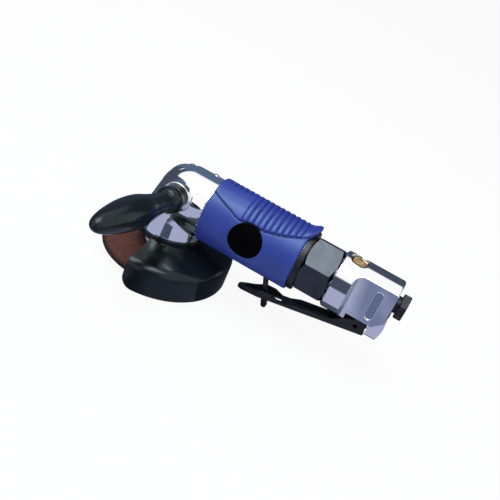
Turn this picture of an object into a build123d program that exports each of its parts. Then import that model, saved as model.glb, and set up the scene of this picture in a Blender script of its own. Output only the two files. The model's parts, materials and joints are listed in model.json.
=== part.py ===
from build123d import *
import math
import os

# Air angle grinder, in millimetres and degrees.
# The motor axis runs along X from the angle head to the air inlet, the spindle along Z.
# Heights here are measured from the motor axis and are negative towards the wheel.
# At the end every piece is lifted, so that the origin is the spindle's lower end.

# Fits
SEAT = 0.04          # radial play of a piece seated in another
RUN = 0.05           # radial play of a shaft or pin that turns or slides
GAP = 0.4            # free space between pieces that move past each other

# Bevel pair
MODULE = 1.25
PINION_TEETH = 9
GEAR_TEETH = 18
FACE_WIDTH = 4.5
TOOTH_RISE = 0.9     # tooth height above the pitch cone at the outer end
TOOTH_DIP = 1.25     # tooth depth below the pitch cone
TOOTH_SHARE = 0.39   # tooth thickness as a share of the pitch
GEAR_HEIGHT = 12.4   # from the pitch circle down to the gear's seat
PINION_HUB_R = 5.2
PINION_HUB = 6.0     # length of the pinion's hub behind the teeth
PINION_BORE_R = 2.4
GEAR_HUB_R = 8.4
TOOTH_ROOT = 0.4     # how far a tooth reaches into its blank
GEAR_KEY = 2.0       # width and height of the key in the bevel gear

# Spindle
SPINDLE_TOP_R = 4.0
SPINDLE_GEAR_R = 5.0
SPINDLE_BEARING_R = 6.0
SPINDLE_COLLAR_R = 8.0
SPINDLE_NOSE_R = 5.0
NOSE_LEAD_R = 4.2    # plain lead-in at the nose, below the disc nut
NOSE_FREE = 4.0      # length of the lead-in
UPPER_OUTER_R = 8.0
UPPER_WIDTH = 5.0
LOWER_OUTER_R = 14.0
LOWER_WIDTH = 8.0
GEAR_ROOM = 1.2      # space between the gear's tips and the head
UPPER_SHOULDER_Z = 9.5
BEARING_LEDGE = 1.0  # open height under the upper bearing
POCKET_ROOM = 0.6    # space over the upper bearing

# Angle head
ELBOW_R = 24.6       # the neck where it shows, in front of the sleeve
NECK_R = 23.0        # and under the sleeve
NECK_CAP_X = 6.3     # centre of the neck's round front end
NECK_SHOULDER_X = 26.0
NECK_END_X = 35.0
NECK_SOCKET_R = 21.5
SHAFT_BORE_R = 9.0
CROWN_R = 15.4
CROWN_Z = 8.0
BELL_RIM_R = 27.9
BELL_LIP = 1.4
BOSS_R = 11.4
BOSS_Y = 25.4
FAR_SEAT_R = 7.5     # spot face around the handle hole on the far side
FAR_SEAT_Y = 20.4
HANDLE_X = 4.7
HANDLE_Z = 9.4
STUD_R = 4.25
STUD_HOLE = 11.0     # depth of the handle hole in the boss
TOP_LEAN = 22.0      # lean of the fitting and the screw on top, towards the far side
FITTING_X = -1.5
FITTING_R = 3.0
FITTING_SHANK_R = 1.8
FITTING_RISE = 1.2
FITTING_BORE_R = 0.6
NECK_SCREW_X = 19.5
NECK_SCREW_R = 2.4
NECK_SCREW_SHANK_R = 1.5
NECK_SCREW_RISE = 1.0
NECK_SCREW_LENGTH = 8.0
NECK_SCREW_SOCKET_R = 0.9
SPOT_DEPTH = 0.3     # how far the spot faces on top go below the surface

# Bearing cap and seal
CAP_SPIGOT_R = 20.0
CAP_SPIGOT = 5.0     # height of the spigot that holds the lower bearing
CAP_NECK_R = 25.8
CAP_NECK = 6.2       # height of the neck that carries the guard
SEAL_R = 12.0
SEAL_HEIGHT = 3.0
CAP_RELIEF = 1.0     # the lower bearing stands free of the cap inside this ledge
CAP_LEDGE = 3.0      # width of the ledge under the outer ring
SPANNER_HOLE_R = 2.0
SPANNER_HOLE = 3.0

# Wheel, flanges and disc nut
FLANGE_ROOM = 2.8    # space between the bearing cap and the inner flange
FLANGE_R = 17.5
FLANGE_HEIGHT = 9.5
FLANGE_PLATE = 3.0
FLANGE_HUB_R = 12.0
WHEEL_R = 50.0
WHEEL_THICKNESS = 3.0
WHEEL_DROP = 6.3     # depth of the wheel's depressed centre
WHEEL_BORE_R = 8.0
WHEEL_HUB_R = 19.0
WHEEL_STEP_R = 27.0
NUT_FLANGE_R = 15.0
NUT_FLANGE = 3.0
NUT_HUB_R = 10.0
NUT_HUB = 5.5
NUT_PIN_R = 2.0      # spanner holes in the disc nut
NUT_PIN_PCD_R = 12.4

# Guard
GUARD_R = 59.4
GUARD_SHEET = 1.8
GUARD_DISH = 8.0     # fall from the collar to the wall's upper edge
GUARD_EDGE_R = 9.0
GUARD_SKIRT = 6.8    # how far the wall reaches below the wheel
GUARD_CORNER_R = 10.0
GUARD_SPAN = 180.0
GUARD_TURN = -93.0   # direction of the guard's near edge about the spindle
COLLAR_THICKNESS = 2.6
COLLAR_HEIGHT = 5.4
COLLAR_DROP = 0.2    # space between the head's rim and the collar
EAR_LEAD = 19.0      # turn from the guard's far edge on to the clamping ears
EAR_REACH = 10.0
EAR_THICKNESS = 3.0
EAR_SLOT = 2.0
CLAMP_SCREW_R = 2.0
CLAMP_HEAD_R = 3.6
CLAMP_HEAD = 3.0
CLAMP_NUT_R = 4.0
CLAMP_NUT = 3.2

# Side handle
WASHER_R = 11.3
WASHER_THICKNESS = 1.6
BALL_R = 10.9
BALL_REACH = 9.0     # from the washer to the centre of the ball collar
GRIP_LENGTH = 94.4
GRIP_R = 12.5
GRIP_NECK_R = 8.0
GRIP_SWEEP = 7.8     # lean of the grip towards the front
GRIP_LIFT = 6.2      # lean of the grip upwards
STUD_REACH = 24.0    # stud length inside the handle

# Motor
HOUSING_BORE_R = 20.0
MOTOR_TUBE_END_X = 113.7
PLATE_WIDTH = 12.0
CYLINDER_LENGTH = 53.0
CYLINDER_BORE_R = 16.0
ECCENTRICITY = 1.5
ROTOR_R = 14.4
ROTOR_END_GAP = 0.2
SHAFT_R = 4.0
VANE_COUNT = 5
VANE_THICKNESS = 1.5
VANE_DEPTH = 8.0
ROTOR_BEARING_R = 11.0
ROTOR_BEARING_WIDTH = 7.0
PLATE_HOLE_R = 5.5
CYLINDER_PIN_R = 1.2
CYLINDER_PIN = 10.0
GASKET = 1.0

# Grip sleeve and badge
SLEEVE_R = 27.0
SLEEVE_START_X = 28.6
PAD_RISE = 0.4
PAD_FRONT_ANGLE = 31.7   # where the pad's edge meets the front, from the top
PAD_WIDE_X = 57.0
PAD_WIDE_ANGLE = 55.0
PAD_REAR_X = 78.0
PAD_REAR_ANGLE = 51.0
PAD_TAIL_X = 106.0
PAD_TAIL_ANGLE = 27.0
BEAK_REACH = 5.2
BEAK_HALF_WIDTH = 4.0
BEAK_LIFT = 5.5
BEAK_ROOT = 3.0          # from the sleeve's rear end forward to the beak's root
BEAK_SINK = 0.5          # depth of the beak's root under the pad's surface
BEAK_FLATTEN = 1.1       # how much flatter the beak's arch is than the pad
BEAK_THICKNESS = 2.4
RIB_COUNT = 10
RIB_PITCH = 4.6
RIB_START_X = 58.0
RIB_GROOVE = 1.3
RIB_SINK = 0.4           # depth of the grooves' floor below the sleeve's surface
RIB_MARGIN = 5.0         # angle left plain between the grooves' ends and the pad's edge
SHORT_RIB_COUNT = 5      # ribs in front of these, on the far side of the smooth thumb rest only
SHORT_RIB_Y = 4.0
BADGE_X = 68.0
BADGE_R = 14.0
BADGE_ANGLE = 9.0        # above the near side
BADGE_SINK = 0.6
BADGE_RISE = 0.3

# Exhaust ring and coupling nut
RING_R = 25.0
RING_WIDTH = 4.2
NUT_FLATS = 42.0
NUT_TURN = 4.4           # hexagon's turn from a corner straight up
NUT_LENGTH = 24.8
NUT_CHAMFER = 2.4
NUT_BORE_R = 13.0

# Throttle housing
HOUSING_R = 24.0
HOUSING_LENGTH = 49.6
HOUSING_SPIGOT_R = 15.0
HOUSING_SPIGOT = 14.0
HOUSING_CHAMFER = 1.4
FLAT_Y = 13.0
FLAT_FROM = 22.0         # from the housing's front to the start of the flats
RUNOUT_R = 7.0
UNDERCUT_Z = -15.2
UNDERCUT_FROM = 21.0
BLOCK_WIDTH = 24.6
BLOCK_LENGTH = 9.0
BLOCK_BOTTOM_Z = -24.8
CORNER_RISE = 10.0       # three-cornered step at the rear foot of each flat
CORNER_RUN = 7.0
PANEL_LENGTH = 26.0      # plain oblong sunk in each flat
PANEL_WIDTH = 6.4
PANEL_DEPTH = 0.6
PANEL_FROM = 12.5        # from the housing's rear to the middle of the oblong
PANEL_Z = 2.0
FEED_R = 5.0
FEED_Z = -2.0
INLET_Z = 6.0

# Throttle valve
VALVE_FROM = 12.0        # from the housing's front to the valve's axis
VALVE_BORE_R = 6.2
CAP_R = 8.0
CAP_HEIGHT = 5.0
CAP_FLATS = 10.6         # across the flats of the socket in the cap
CAP_SOCKET = 3.4
BUSH_TOP_Z = 0.0
BUSH_END = 0.6           # how far the bush stays inside the housing's underside
STEM_R = 2.4
STEM_HEAD_R = 4.6
STEM_HEAD = 2.5
SPRING_WIRE_R = 0.5
SPRING_R = 3.6
SPRING_TURNS = 6

# Inlet bushing
INLET_THREAD_R = 8.2
INLET_THREAD = 11.0
INLET_NECK_R = 7.0
INLET_NECK = 3.2
INLET_FLATS = 20.0
INLET_HEAD = 6.2
INLET_CHAMFER = 1.2
INLET_BORE_R = 5.7
INLET_BORE = 14.0
INLET_PASSAGE_R = 4.0
SCREEN_R = 6.0
SCREEN_THICKNESS = 1.0
SCREEN_HOLE_R = 0.7

# Throttle lever and latch
PIVOT_FROM = 32.0        # from the housing's front to the lever's pivot
PIVOT_Z = -25.8
PIVOT_PIN_R = 2.0
LEVER_REST = 11.5        # slope of the lever at rest
LEVER_WIDTH = 12.4
LEVER_WALL = 1.8
LEVER_WEB = 2.2
LEVER_SOLE = 6.0         # from the pivot down to the lever's underside
LEVER_TIP = 101.2        # from the pivot forward to the tip
LEVER_TIP_WIDTH = 7.0
LEVER_TAIL = 7.6
LEVER_HEAD = 4.6         # height of the side walls above the pivot
LEVER_RAIL = 4.4         # height of the side walls along the middle
LEVER_EDGE = 1.0         # broken edges at the tail
LEVER_HEAD_FRONT = 5.5   # from the pivot forward to the front of the high side walls
LEVER_HEAD_FOOT = 21.0   # and to where they have come down to the rail
TIP_RISE = 0.6           # upward turn of the tip
TIP_SLOPE = 4.0          # length of the slope under the tip
SHOULDER = 4.0           # from the latch's pivot forward to where the lever narrows
LATCH_SETBACK = 23.0     # from the lever's tip back to the latch's pivot
LATCH_DROP = 1.8
EAR_RISE = 2.8           # height of the lever's ears above the latch's pivot
EAR_FRONT = 10.0         # from the latch's pivot forward to the ears' foot
EAR_BACK = 7.0           # from the latch's pivot back to the ears' end
EAR_FALL = 0.8           # fall of the ears' top to that end
SADDLE_FROM = 14.0       # low part of the side walls, from the latch's pivot back
SADDLE_TO = 21.0
SADDLE_RISE = 0.2        # height of the side walls above the web there
RAIL_FROM = 29.0
LATCH_PIN_R = 1.0
LATCH_HUB_R = 3.2
LATCH_WIDTH = 4.0
LATCH_ROOM = 1.7         # from the latch's arm up to the sleeve
LATCH_ARM_R = 1.8
LATCH_TAB = 14.5
LATCH_TAB_R = 2.3
LATCH_LEAN = 6.1         # lean of the latch from square to the lever
LATCH_SPRING_WIRE_R = 0.25
LATCH_SPRING_TURNS = 1.5
LUG_WIDTH = 7.2
VALVE_REST = 0.3         # space between the stem and the lever at rest

# Worked out from the sizes above
PINION_PITCH_R = MODULE * PINION_TEETH / 2
GEAR_PITCH_R = MODULE * GEAR_TEETH / 2
CONE = math.hypot(PINION_PITCH_R, GEAR_PITCH_R)
INNER_SHARE = (CONE - FACE_WIDTH) / CONE
GEAR_SEAT_Z = -PINION_PITCH_R - GEAR_HEIGHT
CHAMBER_R = GEAR_PITCH_R + TOOTH_RISE * PINION_PITCH_R / CONE + GEAR_ROOM
LOWER_Z = GEAR_SEAT_Z - LOWER_WIDTH
BELL_RIM_Z = LOWER_Z - CAP_SPIGOT
CAP_BOTTOM_Z = BELL_RIM_Z - CAP_NECK
FLANGE_SEAT_Z = CAP_BOTTOM_Z - FLANGE_ROOM
WHEEL_SEAT_Z = FLANGE_SEAT_Z - FLANGE_HEIGHT
NUT_SEAT_Z = WHEEL_SEAT_Z - WHEEL_THICKNESS
WHEEL_FACE_Z = NUT_SEAT_Z - WHEEL_DROP
NUT_END_Z = NUT_SEAT_Z - NUT_FLANGE - NUT_HUB
SPINDLE_END_Z = NUT_END_Z - NOSE_FREE
AXIS_HEIGHT = -SPINDLE_END_Z
COLLAR_TOP_Z = BELL_RIM_Z - COLLAR_DROP
COLLAR_BORE_R = CAP_NECK_R + RUN
COLLAR_R = COLLAR_BORE_R + COLLAR_THICKNESS
GUARD_RIM_Z = WHEEL_FACE_Z - GUARD_SKIRT
EAR_TURN = GUARD_TURN + GUARD_SPAN + EAR_LEAD
FRONT_PLATE_X = NECK_SHOULDER_X
CYLINDER_X = FRONT_PLATE_X + PLATE_WIDTH
REAR_PLATE_X = CYLINDER_X + CYLINDER_LENGTH
GASKET_X = REAR_PLATE_X + PLATE_WIDTH
COUPLING_X = GASKET_X + GASKET
RING_X = MOTOR_TUBE_END_X - RING_WIDTH
SLEEVE_END_X = RING_X - GAP
HOUSING_X = MOTOR_TUBE_END_X + NUT_LENGTH
HOUSING_END_X = HOUSING_X + HOUSING_LENGTH
SPIGOT_X = HOUSING_X - HOUSING_SPIGOT
BLOCK_X = HOUSING_END_X - BLOCK_LENGTH
VALVE_X = HOUSING_X + VALVE_FROM
PIVOT_X = HOUSING_X + PIVOT_FROM
WEB_TOP = LEVER_WEB - LEVER_SOLE
LUG_R = -WEB_TOP - GAP
SLEEVE_BORE_R = NECK_R + SEAT
PAD_R = SLEEVE_R + PAD_RISE
WASHER_Y = -BOSS_Y - WASHER_THICKNESS
BALL_Y = WASHER_Y - BALL_REACH
INLET_HEAD_X = HOUSING_END_X + INLET_NECK
INLET_END_X = INLET_HEAD_X + INLET_HEAD
BUSH_BOTTOM_Z = BUSH_END - HOUSING_R
CAP_SEAT_Z = HOUSING_R - CAP_HEIGHT - BUSH_END
LATCH_FROM = LEVER_TIP - LATCH_SETBACK
SLOPE = math.radians(LEVER_REST)
LATCH_Z = PIVOT_Z - LATCH_FROM * math.sin(SLOPE) - LATCH_DROP * math.cos(SLOPE)
LATCH_ARM = (-SLEEVE_R - LATCH_ROOM - LATCH_Z) / math.cos(SLOPE + math.radians(LATCH_LEAN))


def rod_x(r, x0, x1, y=0, z=0):
    return Pos((x0 + x1) / 2, y, z) * Rot(0, 90, 0) * Cylinder(r, abs(x1 - x0))


def rod_y(r, y0, y1, x=0, z=0):
    return Pos(x, (y0 + y1) / 2, z) * Rot(90, 0, 0) * Cylinder(r, abs(y1 - y0))


def rod_z(r, z0, z1, x=0, y=0):
    return Pos(x, y, (z0 + z1) / 2) * Cylinder(r, abs(z1 - z0))


def block(x0, x1, y0, y1, z0, z1):
    return Pos((x0 + x1) / 2, (y0 + y1) / 2, (z0 + z1) / 2) * Box(abs(x1 - x0), abs(y1 - y0), abs(z1 - z0))


def hexagon_x(flats, x0, x1, turn, chamfered=0.0, y=0, z=0):
    """A hexagon bar along X, with its corners turned off at both ends."""
    profile = Plane.YZ * Rot(0, 0, 90 + turn) * RegularPolygon(flats / 2, 6, major_radius=False)
    bar = Pos(x0, y, z) * extrude(profile, x1 - x0)
    if not chamfered:
        return bar
    corner_r = flats / math.sqrt(3)
    end_r = corner_r - chamfered * (1 + math.tan(math.radians(30)))
    turned = turned_x([(x0, 0), (x0, end_r), (x0 + chamfered, corner_r), (x1 - chamfered, corner_r),
                       (x1, end_r), (x1, 0)])
    return bar & Pos(0, y, z) * turned


def turned_x(points):
    """A solid turned about X from (x, radius) corners."""
    return revolve(make_face(Polyline(*[(x, r, 0) for x, r in points], close=True)), Axis.X)


def turned_z(points):
    """A solid turned about Z from (radius, z) corners."""
    return revolve(make_face(Polyline(*[(r, 0, z) for r, z in points], close=True)), Axis.Z)


def ball_bearing(bore_r, outer_r, width, balls):
    """Outer ring, inner ring and balls of a bearing that stands on z = 0 about Z."""
    middle = (bore_r + outer_r) / 2
    ball_r = 0.3 * (outer_r - bore_r)
    half_channel = 0.55 * ball_r
    groove = Pos(0, 0, width / 2) * Torus(middle, ball_r + RUN)
    outer = rod_z(outer_r, 0, width) - rod_z(middle + half_channel, 0, width) - groove
    inner = rod_z(middle - half_channel, 0, width) - rod_z(bore_r, 0, width) - groove
    ring = [Pos(0, 0, width / 2) * loc * Sphere(ball_r) for loc in PolarLocations(middle, balls, 10)]
    return outer, inner, Compound(children=[ball.solid() for ball in ring])


def coil(name, radius, wire_r, length, turns):
    """A round wire wound about Z from z = 0, swept along arcs of a quarter turn."""
    def on_helix(turn):
        angle = 2 * math.pi * turn
        return Vector(radius * math.cos(angle), radius * math.sin(angle), length * turn / turns)

    quarters = int(4 * turns)
    arcs = [ThreePointArc(on_helix(q / 4), on_helix((q + 0.5) / 4), on_helix((q + 1) / 4))
            for q in range(quarters)]
    path = Wire(arcs)
    steps = [on_helix(s / 40) for s in range(int(40 * turns) + 1)]
    apart = [(a - b).length for i, a in enumerate(steps) for b in steps[i + 20:]]
    print(f"{name}: least gap between turns {min(apart) - 2 * wire_r:.2f} mm")
    section = Plane(origin=path @ 0, z_dir=path % 0) * Circle(wire_r)
    return sweep(section, path=path)


def bevel_tooth(pitch_r, depth):
    """One straight bevel tooth on +X about Z: two like sections, shrunk towards the apex at the origin."""
    slope = math.atan2(depth, pitch_r)
    normal = Vector(math.sin(slope), 0, math.cos(slope))
    foot = Vector(pitch_r, 0, -depth)
    half = math.pi * MODULE * TOOTH_SHARE / 2
    flank = math.tan(math.radians(20))
    low = -(TOOTH_DIP + TOOTH_ROOT)
    outline = [(low, half - low * flank), (TOOTH_RISE, half - TOOTH_RISE * flank)]
    corners = [foot + normal * h + Vector(0, w * s, 0) for s in (-1, 1)
               for h, w in (outline if s < 0 else outline[::-1])]
    outer = make_face(Polyline(*corners, close=True))
    inner = make_face(Polyline(*[corner * INNER_SHARE for corner in corners], close=True))
    return loft([outer, inner], ruled=True)


def bevel_blank(pitch_r, depth, bottom_z, hub_r, bore_r):
    """The toothless bevel wheel about Z with its apex at the origin and its back at bottom_z."""
    slope = math.atan2(depth, pitch_r)
    root = (pitch_r - TOOTH_DIP * math.sin(slope), -depth - TOOTH_DIP * math.cos(slope))
    inner = (root[0] * INNER_SHARE, root[1] * INNER_SHARE)
    back = root[1] - math.cos(slope) * TOOTH_DIP
    return turned_z([(bore_r, inner[1]), inner, root, (root[0], back), (hub_r, back - GAP),
                     (hub_r, bottom_z), (bore_r, bottom_z)])


def bevel_gear():
    wheel = bevel_blank(GEAR_PITCH_R, PINION_PITCH_R, GEAR_SEAT_Z, GEAR_HUB_R, SPINDLE_GEAR_R + SEAT)
    tooth = bevel_tooth(GEAR_PITCH_R, PINION_PITCH_R)
    step = 360 / GEAR_TEETH
    wheel += [Rot(0, 0, (i + 0.5) * step) * tooth for i in range(GEAR_TEETH)]
    return wheel - key_slot(SEAT)


def key_slot(play):
    """The key's space on the spindle, on the side away from the motor."""
    half = GEAR_KEY / 2
    reach = SPINDLE_GEAR_R + half
    top = -PINION_PITCH_R - GEAR_HEIGHT / 3
    return block(-reach - play, -reach + GEAR_KEY, -half - play, half + play, GEAR_SEAT_Z, top)


def pinion():
    back = -GEAR_PITCH_R - PINION_HUB
    gear = bevel_blank(PINION_PITCH_R, GEAR_PITCH_R, back, PINION_HUB_R, PINION_BORE_R + SEAT)
    tooth = bevel_tooth(PINION_PITCH_R, GEAR_PITCH_R)
    gear += [Rot(0, 0, 180 + i * 360 / PINION_TEETH) * tooth for i in range(PINION_TEETH)]
    # The apex stays at the origin while the axis turns from -Z to +X; one tooth points down.
    return Rot(0, -90, 0) * gear


def spindle():
    shaft = turned_z([
        (0, UPPER_SHOULDER_Z + UPPER_WIDTH), (SPINDLE_TOP_R, UPPER_SHOULDER_Z + UPPER_WIDTH),
        (SPINDLE_TOP_R, UPPER_SHOULDER_Z), (SPINDLE_GEAR_R, UPPER_SHOULDER_Z),
        (SPINDLE_GEAR_R, GEAR_SEAT_Z), (SPINDLE_BEARING_R, GEAR_SEAT_Z),
        (SPINDLE_BEARING_R, LOWER_Z), (SPINDLE_COLLAR_R, LOWER_Z),
        (SPINDLE_COLLAR_R, FLANGE_SEAT_Z), (SPINDLE_NOSE_R, FLANGE_SEAT_Z),
        (SPINDLE_NOSE_R, NUT_END_Z), (NOSE_LEAD_R, NUT_END_Z), (NOSE_LEAD_R, SPINDLE_END_Z),
        (0, SPINDLE_END_Z)])
    return shaft - key_slot(0)


def bell():
    """The cone of the head, tangent to its round crown, down to the rim."""
    lip_z = BELL_RIM_Z + BELL_LIP
    distance = math.hypot(BELL_RIM_R, lip_z - CROWN_Z)
    turn = math.atan2(lip_z - CROWN_Z, BELL_RIM_R) + math.acos(CROWN_R / distance)
    touch = (CROWN_R * math.cos(turn), CROWN_Z + CROWN_R * math.sin(turn))
    cone = turned_z([(0, BELL_RIM_Z), (BELL_RIM_R, BELL_RIM_Z), (BELL_RIM_R, lip_z), touch, (0, touch[1])])
    return cone + Pos(0, 0, CROWN_Z) * Sphere(CROWN_R)


def angle_head():
    head = bell() + Pos(NECK_CAP_X, 0, 0) * Sphere(ELBOW_R) + rod_x(NECK_R, NECK_CAP_X, NECK_END_X)
    head += rod_x(ELBOW_R, NECK_CAP_X, SLEEVE_START_X - GAP)
    head += rod_y(BOSS_R, -BOSS_Y, 0, HANDLE_X, HANDLE_Z)
    chamber_top = UPPER_SHOULDER_Z - BEARING_LEDGE
    head -= rod_z(CHAMBER_R, GEAR_SEAT_Z, chamber_top)
    head -= rod_z(LOWER_OUTER_R + SEAT, LOWER_Z, GEAR_SEAT_Z)
    head -= rod_z(CAP_SPIGOT_R + SEAT, BELL_RIM_Z, LOWER_Z)
    head -= rod_z(UPPER_OUTER_R + SEAT, chamber_top, UPPER_SHOULDER_Z + UPPER_WIDTH + POCKET_ROOM)
    head -= rod_x(SHAFT_BORE_R, 0, NECK_SHOULDER_X)
    head -= rod_x(NECK_SOCKET_R, NECK_SHOULDER_X, NECK_END_X)
    head -= rod_y(STUD_R, -BOSS_Y, STUD_HOLE - BOSS_Y, HANDLE_X, HANDLE_Z)
    head -= rod_y(FAR_SEAT_R, FAR_SEAT_Y, ELBOW_R + 1, HANDLE_X, HANDLE_Z)
    head -= rod_y(STUD_R, BOSS_Y - STUD_HOLE, FAR_SEAT_Y, HANDLE_X, HANDLE_Z)
    head -= on_top(FITTING_X) * rod_z(FITTING_SHANK_R + SEAT, UPPER_SHOULDER_Z, ELBOW_R + 1)
    head -= on_top(FITTING_X) * rod_z(FITTING_R + SEAT, fitting_seat(), ELBOW_R + 1)
    head -= on_top(NECK_SCREW_X) * rod_z(NECK_SCREW_SHANK_R + SEAT, ELBOW_R - NECK_SCREW_LENGTH, ELBOW_R + 1)
    return head - on_top(NECK_SCREW_X) * rod_z(NECK_SCREW_R + SEAT, screw_seat(), ELBOW_R + 1)


def on_top(x):
    """Place from the frame of a fastener on top: +Z square out of the neck, origin on the motor axis."""
    return Pos(x, 0, 0) * Rot(-TOP_LEAN, 0, 0)


def fitting_seat():
    """Distance of the spot face under the grease fitting from the motor axis."""
    reach = abs(FITTING_X - NECK_CAP_X) + FITTING_R
    return math.sqrt(ELBOW_R ** 2 - reach ** 2) - SPOT_DEPTH


def screw_seat():
    """Distance of the spot face under the neck screw from the motor axis."""
    return math.sqrt(ELBOW_R ** 2 - NECK_SCREW_R ** 2) - SPOT_DEPTH


def button(radius, seat_z, rise, shank_r, bottom_z):
    """A fastener about Z with a low domed head on its seat and a plain shank."""
    edge = seat_z + rise * 0.6
    dome_r = (radius ** 2 + rise ** 2) / (2 * rise)
    dome = Pos(0, 0, edge + rise - dome_r) * Sphere(dome_r) & rod_z(radius, edge, edge + rise + 1)
    return rod_z(radius, seat_z, edge) + dome + rod_z(shank_r, bottom_z, seat_z)


def grease_fitting():
    clear_z = UPPER_SHOULDER_Z + UPPER_WIDTH + 1 + FITTING_SHANK_R
    bottom = clear_z / math.cos(math.radians(TOP_LEAN))
    head = button(FITTING_R, fitting_seat(), FITTING_RISE, FITTING_SHANK_R, bottom)
    return on_top(FITTING_X) * (head - rod_z(FITTING_BORE_R, bottom, ELBOW_R + FITTING_RISE + 1))


def neck_screw():
    screw = button(NECK_SCREW_R, screw_seat(), NECK_SCREW_RISE, NECK_SCREW_SHANK_R,
                   ELBOW_R - NECK_SCREW_LENGTH)
    socket = Pos(0, 0, ELBOW_R) * extrude(RegularPolygon(NECK_SCREW_SOCKET_R, 6), NECK_SCREW_RISE + 1)
    return on_top(NECK_SCREW_X) * (screw - socket)


def bearing_cap():
    cap = rod_z(CAP_SPIGOT_R, BELL_RIM_Z, LOWER_Z) + rod_z(CAP_NECK_R, CAP_BOTTOM_Z, BELL_RIM_Z)
    cap -= rod_z(SPINDLE_COLLAR_R + GAP, CAP_BOTTOM_Z, LOWER_Z)
    cap -= rod_z(LOWER_OUTER_R - CAP_LEDGE, LOWER_Z - CAP_RELIEF, LOWER_Z)
    cap -= rod_z(SEAL_R, CAP_BOTTOM_Z, CAP_BOTTOM_Z + SEAL_HEIGHT)
    spanner_r = (SEAL_R + CAP_NECK_R) / 2
    for loc in PolarLocations(spanner_r, 4):
        cap -= loc * rod_z(SPANNER_HOLE_R, CAP_BOTTOM_Z, CAP_BOTTOM_Z + SPANNER_HOLE)
    return cap


def spindle_seal():
    return rod_z(SEAL_R - SEAT, CAP_BOTTOM_Z, CAP_BOTTOM_Z + SEAL_HEIGHT) \
        - rod_z(SPINDLE_COLLAR_R + RUN, CAP_BOTTOM_Z, CAP_BOTTOM_Z + SEAL_HEIGHT)


def inner_flange():
    plate_z = WHEEL_SEAT_Z + FLANGE_PLATE
    flange = rod_z(FLANGE_HUB_R, plate_z, FLANGE_SEAT_Z) + rod_z(FLANGE_R, WHEEL_SEAT_Z, plate_z)
    flange += rod_z(WHEEL_BORE_R - SEAT, NUT_SEAT_Z + GAP, WHEEL_SEAT_Z)
    return flange - rod_z(SPINDLE_NOSE_R + SEAT, NUT_SEAT_Z, FLANGE_SEAT_Z)


def grinding_wheel():
    rim_z = WHEEL_FACE_Z + WHEEL_THICKNESS
    return turned_z([
        (WHEEL_BORE_R, WHEEL_SEAT_Z), (WHEEL_HUB_R, WHEEL_SEAT_Z), (WHEEL_STEP_R, rim_z), (WHEEL_R, rim_z),
        (WHEEL_R, WHEEL_FACE_Z), (WHEEL_STEP_R - WHEEL_THICKNESS / 2, WHEEL_FACE_Z),
        (WHEEL_HUB_R - WHEEL_THICKNESS / 2, NUT_SEAT_Z), (WHEEL_BORE_R, NUT_SEAT_Z)])


def disc_nut():
    plate_z = NUT_SEAT_Z - NUT_FLANGE
    nut = rod_z(NUT_FLANGE_R, plate_z, NUT_SEAT_Z) + rod_z(NUT_HUB_R, NUT_END_Z, plate_z)
    nut -= rod_z(SPINDLE_NOSE_R + SEAT, NUT_END_Z, NUT_SEAT_Z)
    for loc in PolarLocations(NUT_PIN_PCD_R, 2):
        nut -= loc * rod_z(NUT_PIN_R, NUT_END_Z - 1, NUT_SEAT_Z)
    return nut


def guard_section():
    """The guard's sheet in the XZ plane: a shallow cone, a rounded edge and an upright wall."""
    start_z = COLLAR_TOP_Z - COLLAR_HEIGHT + GUARD_SHEET + 1
    edge_z = start_z - GUARD_DISH
    slope = math.atan2(GUARD_DISH, GUARD_R - COLLAR_R)
    drop = GUARD_SHEET / math.cos(slope)
    inner_r = GUARD_R - GUARD_SHEET
    inner_edge_z = edge_z - drop + GUARD_SHEET * math.tan(slope)
    root_r = COLLAR_R - GUARD_SHEET / 2
    root_z = start_z + (COLLAR_R - root_r) * math.tan(slope)
    outside = FilletPolyline((root_r, 0, root_z), (GUARD_R, 0, edge_z), (GUARD_R, 0, GUARD_RIM_Z),
                             radius=GUARD_EDGE_R)
    inside = FilletPolyline((root_r, 0, root_z - drop), (inner_r, 0, inner_edge_z),
                            (inner_r, 0, GUARD_RIM_Z), radius=GUARD_EDGE_R - GUARD_SHEET)
    ends = [Line(outside @ 0, inside @ 0), Line(outside @ 1, inside @ 1)]
    return make_face([outside, inside] + ends)


def guard():
    bowl = Rot(0, 0, GUARD_TURN) * revolve(guard_section(), Axis.Z, GUARD_SPAN)
    # Round the two lower corners of the wall
    corner = block(0, GUARD_CORNER_R, GUARD_R - 4 * GUARD_SHEET, GUARD_R + 1,
                   GUARD_RIM_Z, GUARD_RIM_Z + GUARD_CORNER_R)
    corner -= rod_y(GUARD_CORNER_R, GUARD_R - 5 * GUARD_SHEET, GUARD_R + 2,
                    GUARD_CORNER_R, GUARD_RIM_Z + GUARD_CORNER_R)
    bowl -= Rot(0, 0, GUARD_TURN - 90) * mirror(corner, Plane.YZ)
    bowl -= Rot(0, 0, GUARD_TURN + GUARD_SPAN - 90) * corner
    collar_z = COLLAR_TOP_Z - COLLAR_HEIGHT
    ring = rod_z(COLLAR_R, collar_z, COLLAR_TOP_Z)
    half = EAR_SLOT / 2 + EAR_THICKNESS
    end_r = COLLAR_R + EAR_REACH
    slot = block(0, end_r + 1, -EAR_SLOT / 2, EAR_SLOT / 2, collar_z, COLLAR_TOP_Z)
    ears = block(COLLAR_BORE_R + 1, end_r, -half, half, collar_z, COLLAR_TOP_Z) - slot
    ears -= clamp_bar(CLAMP_SCREW_R + SEAT, -half - 1, half + 1)
    ring -= Rot(0, 0, EAR_TURN) * slot
    ring += Rot(0, 0, EAR_TURN) * ears
    return bowl + ring - rod_z(COLLAR_BORE_R, collar_z - GUARD_SHEET, COLLAR_TOP_Z)


def clamp_bar(radius, y0, y1):
    """A round bar across the guard's ears, before they are turned into place."""
    return rod_y(radius, y0, y1, COLLAR_R + 0.58 * EAR_REACH, COLLAR_TOP_Z - COLLAR_HEIGHT / 2)


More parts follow.
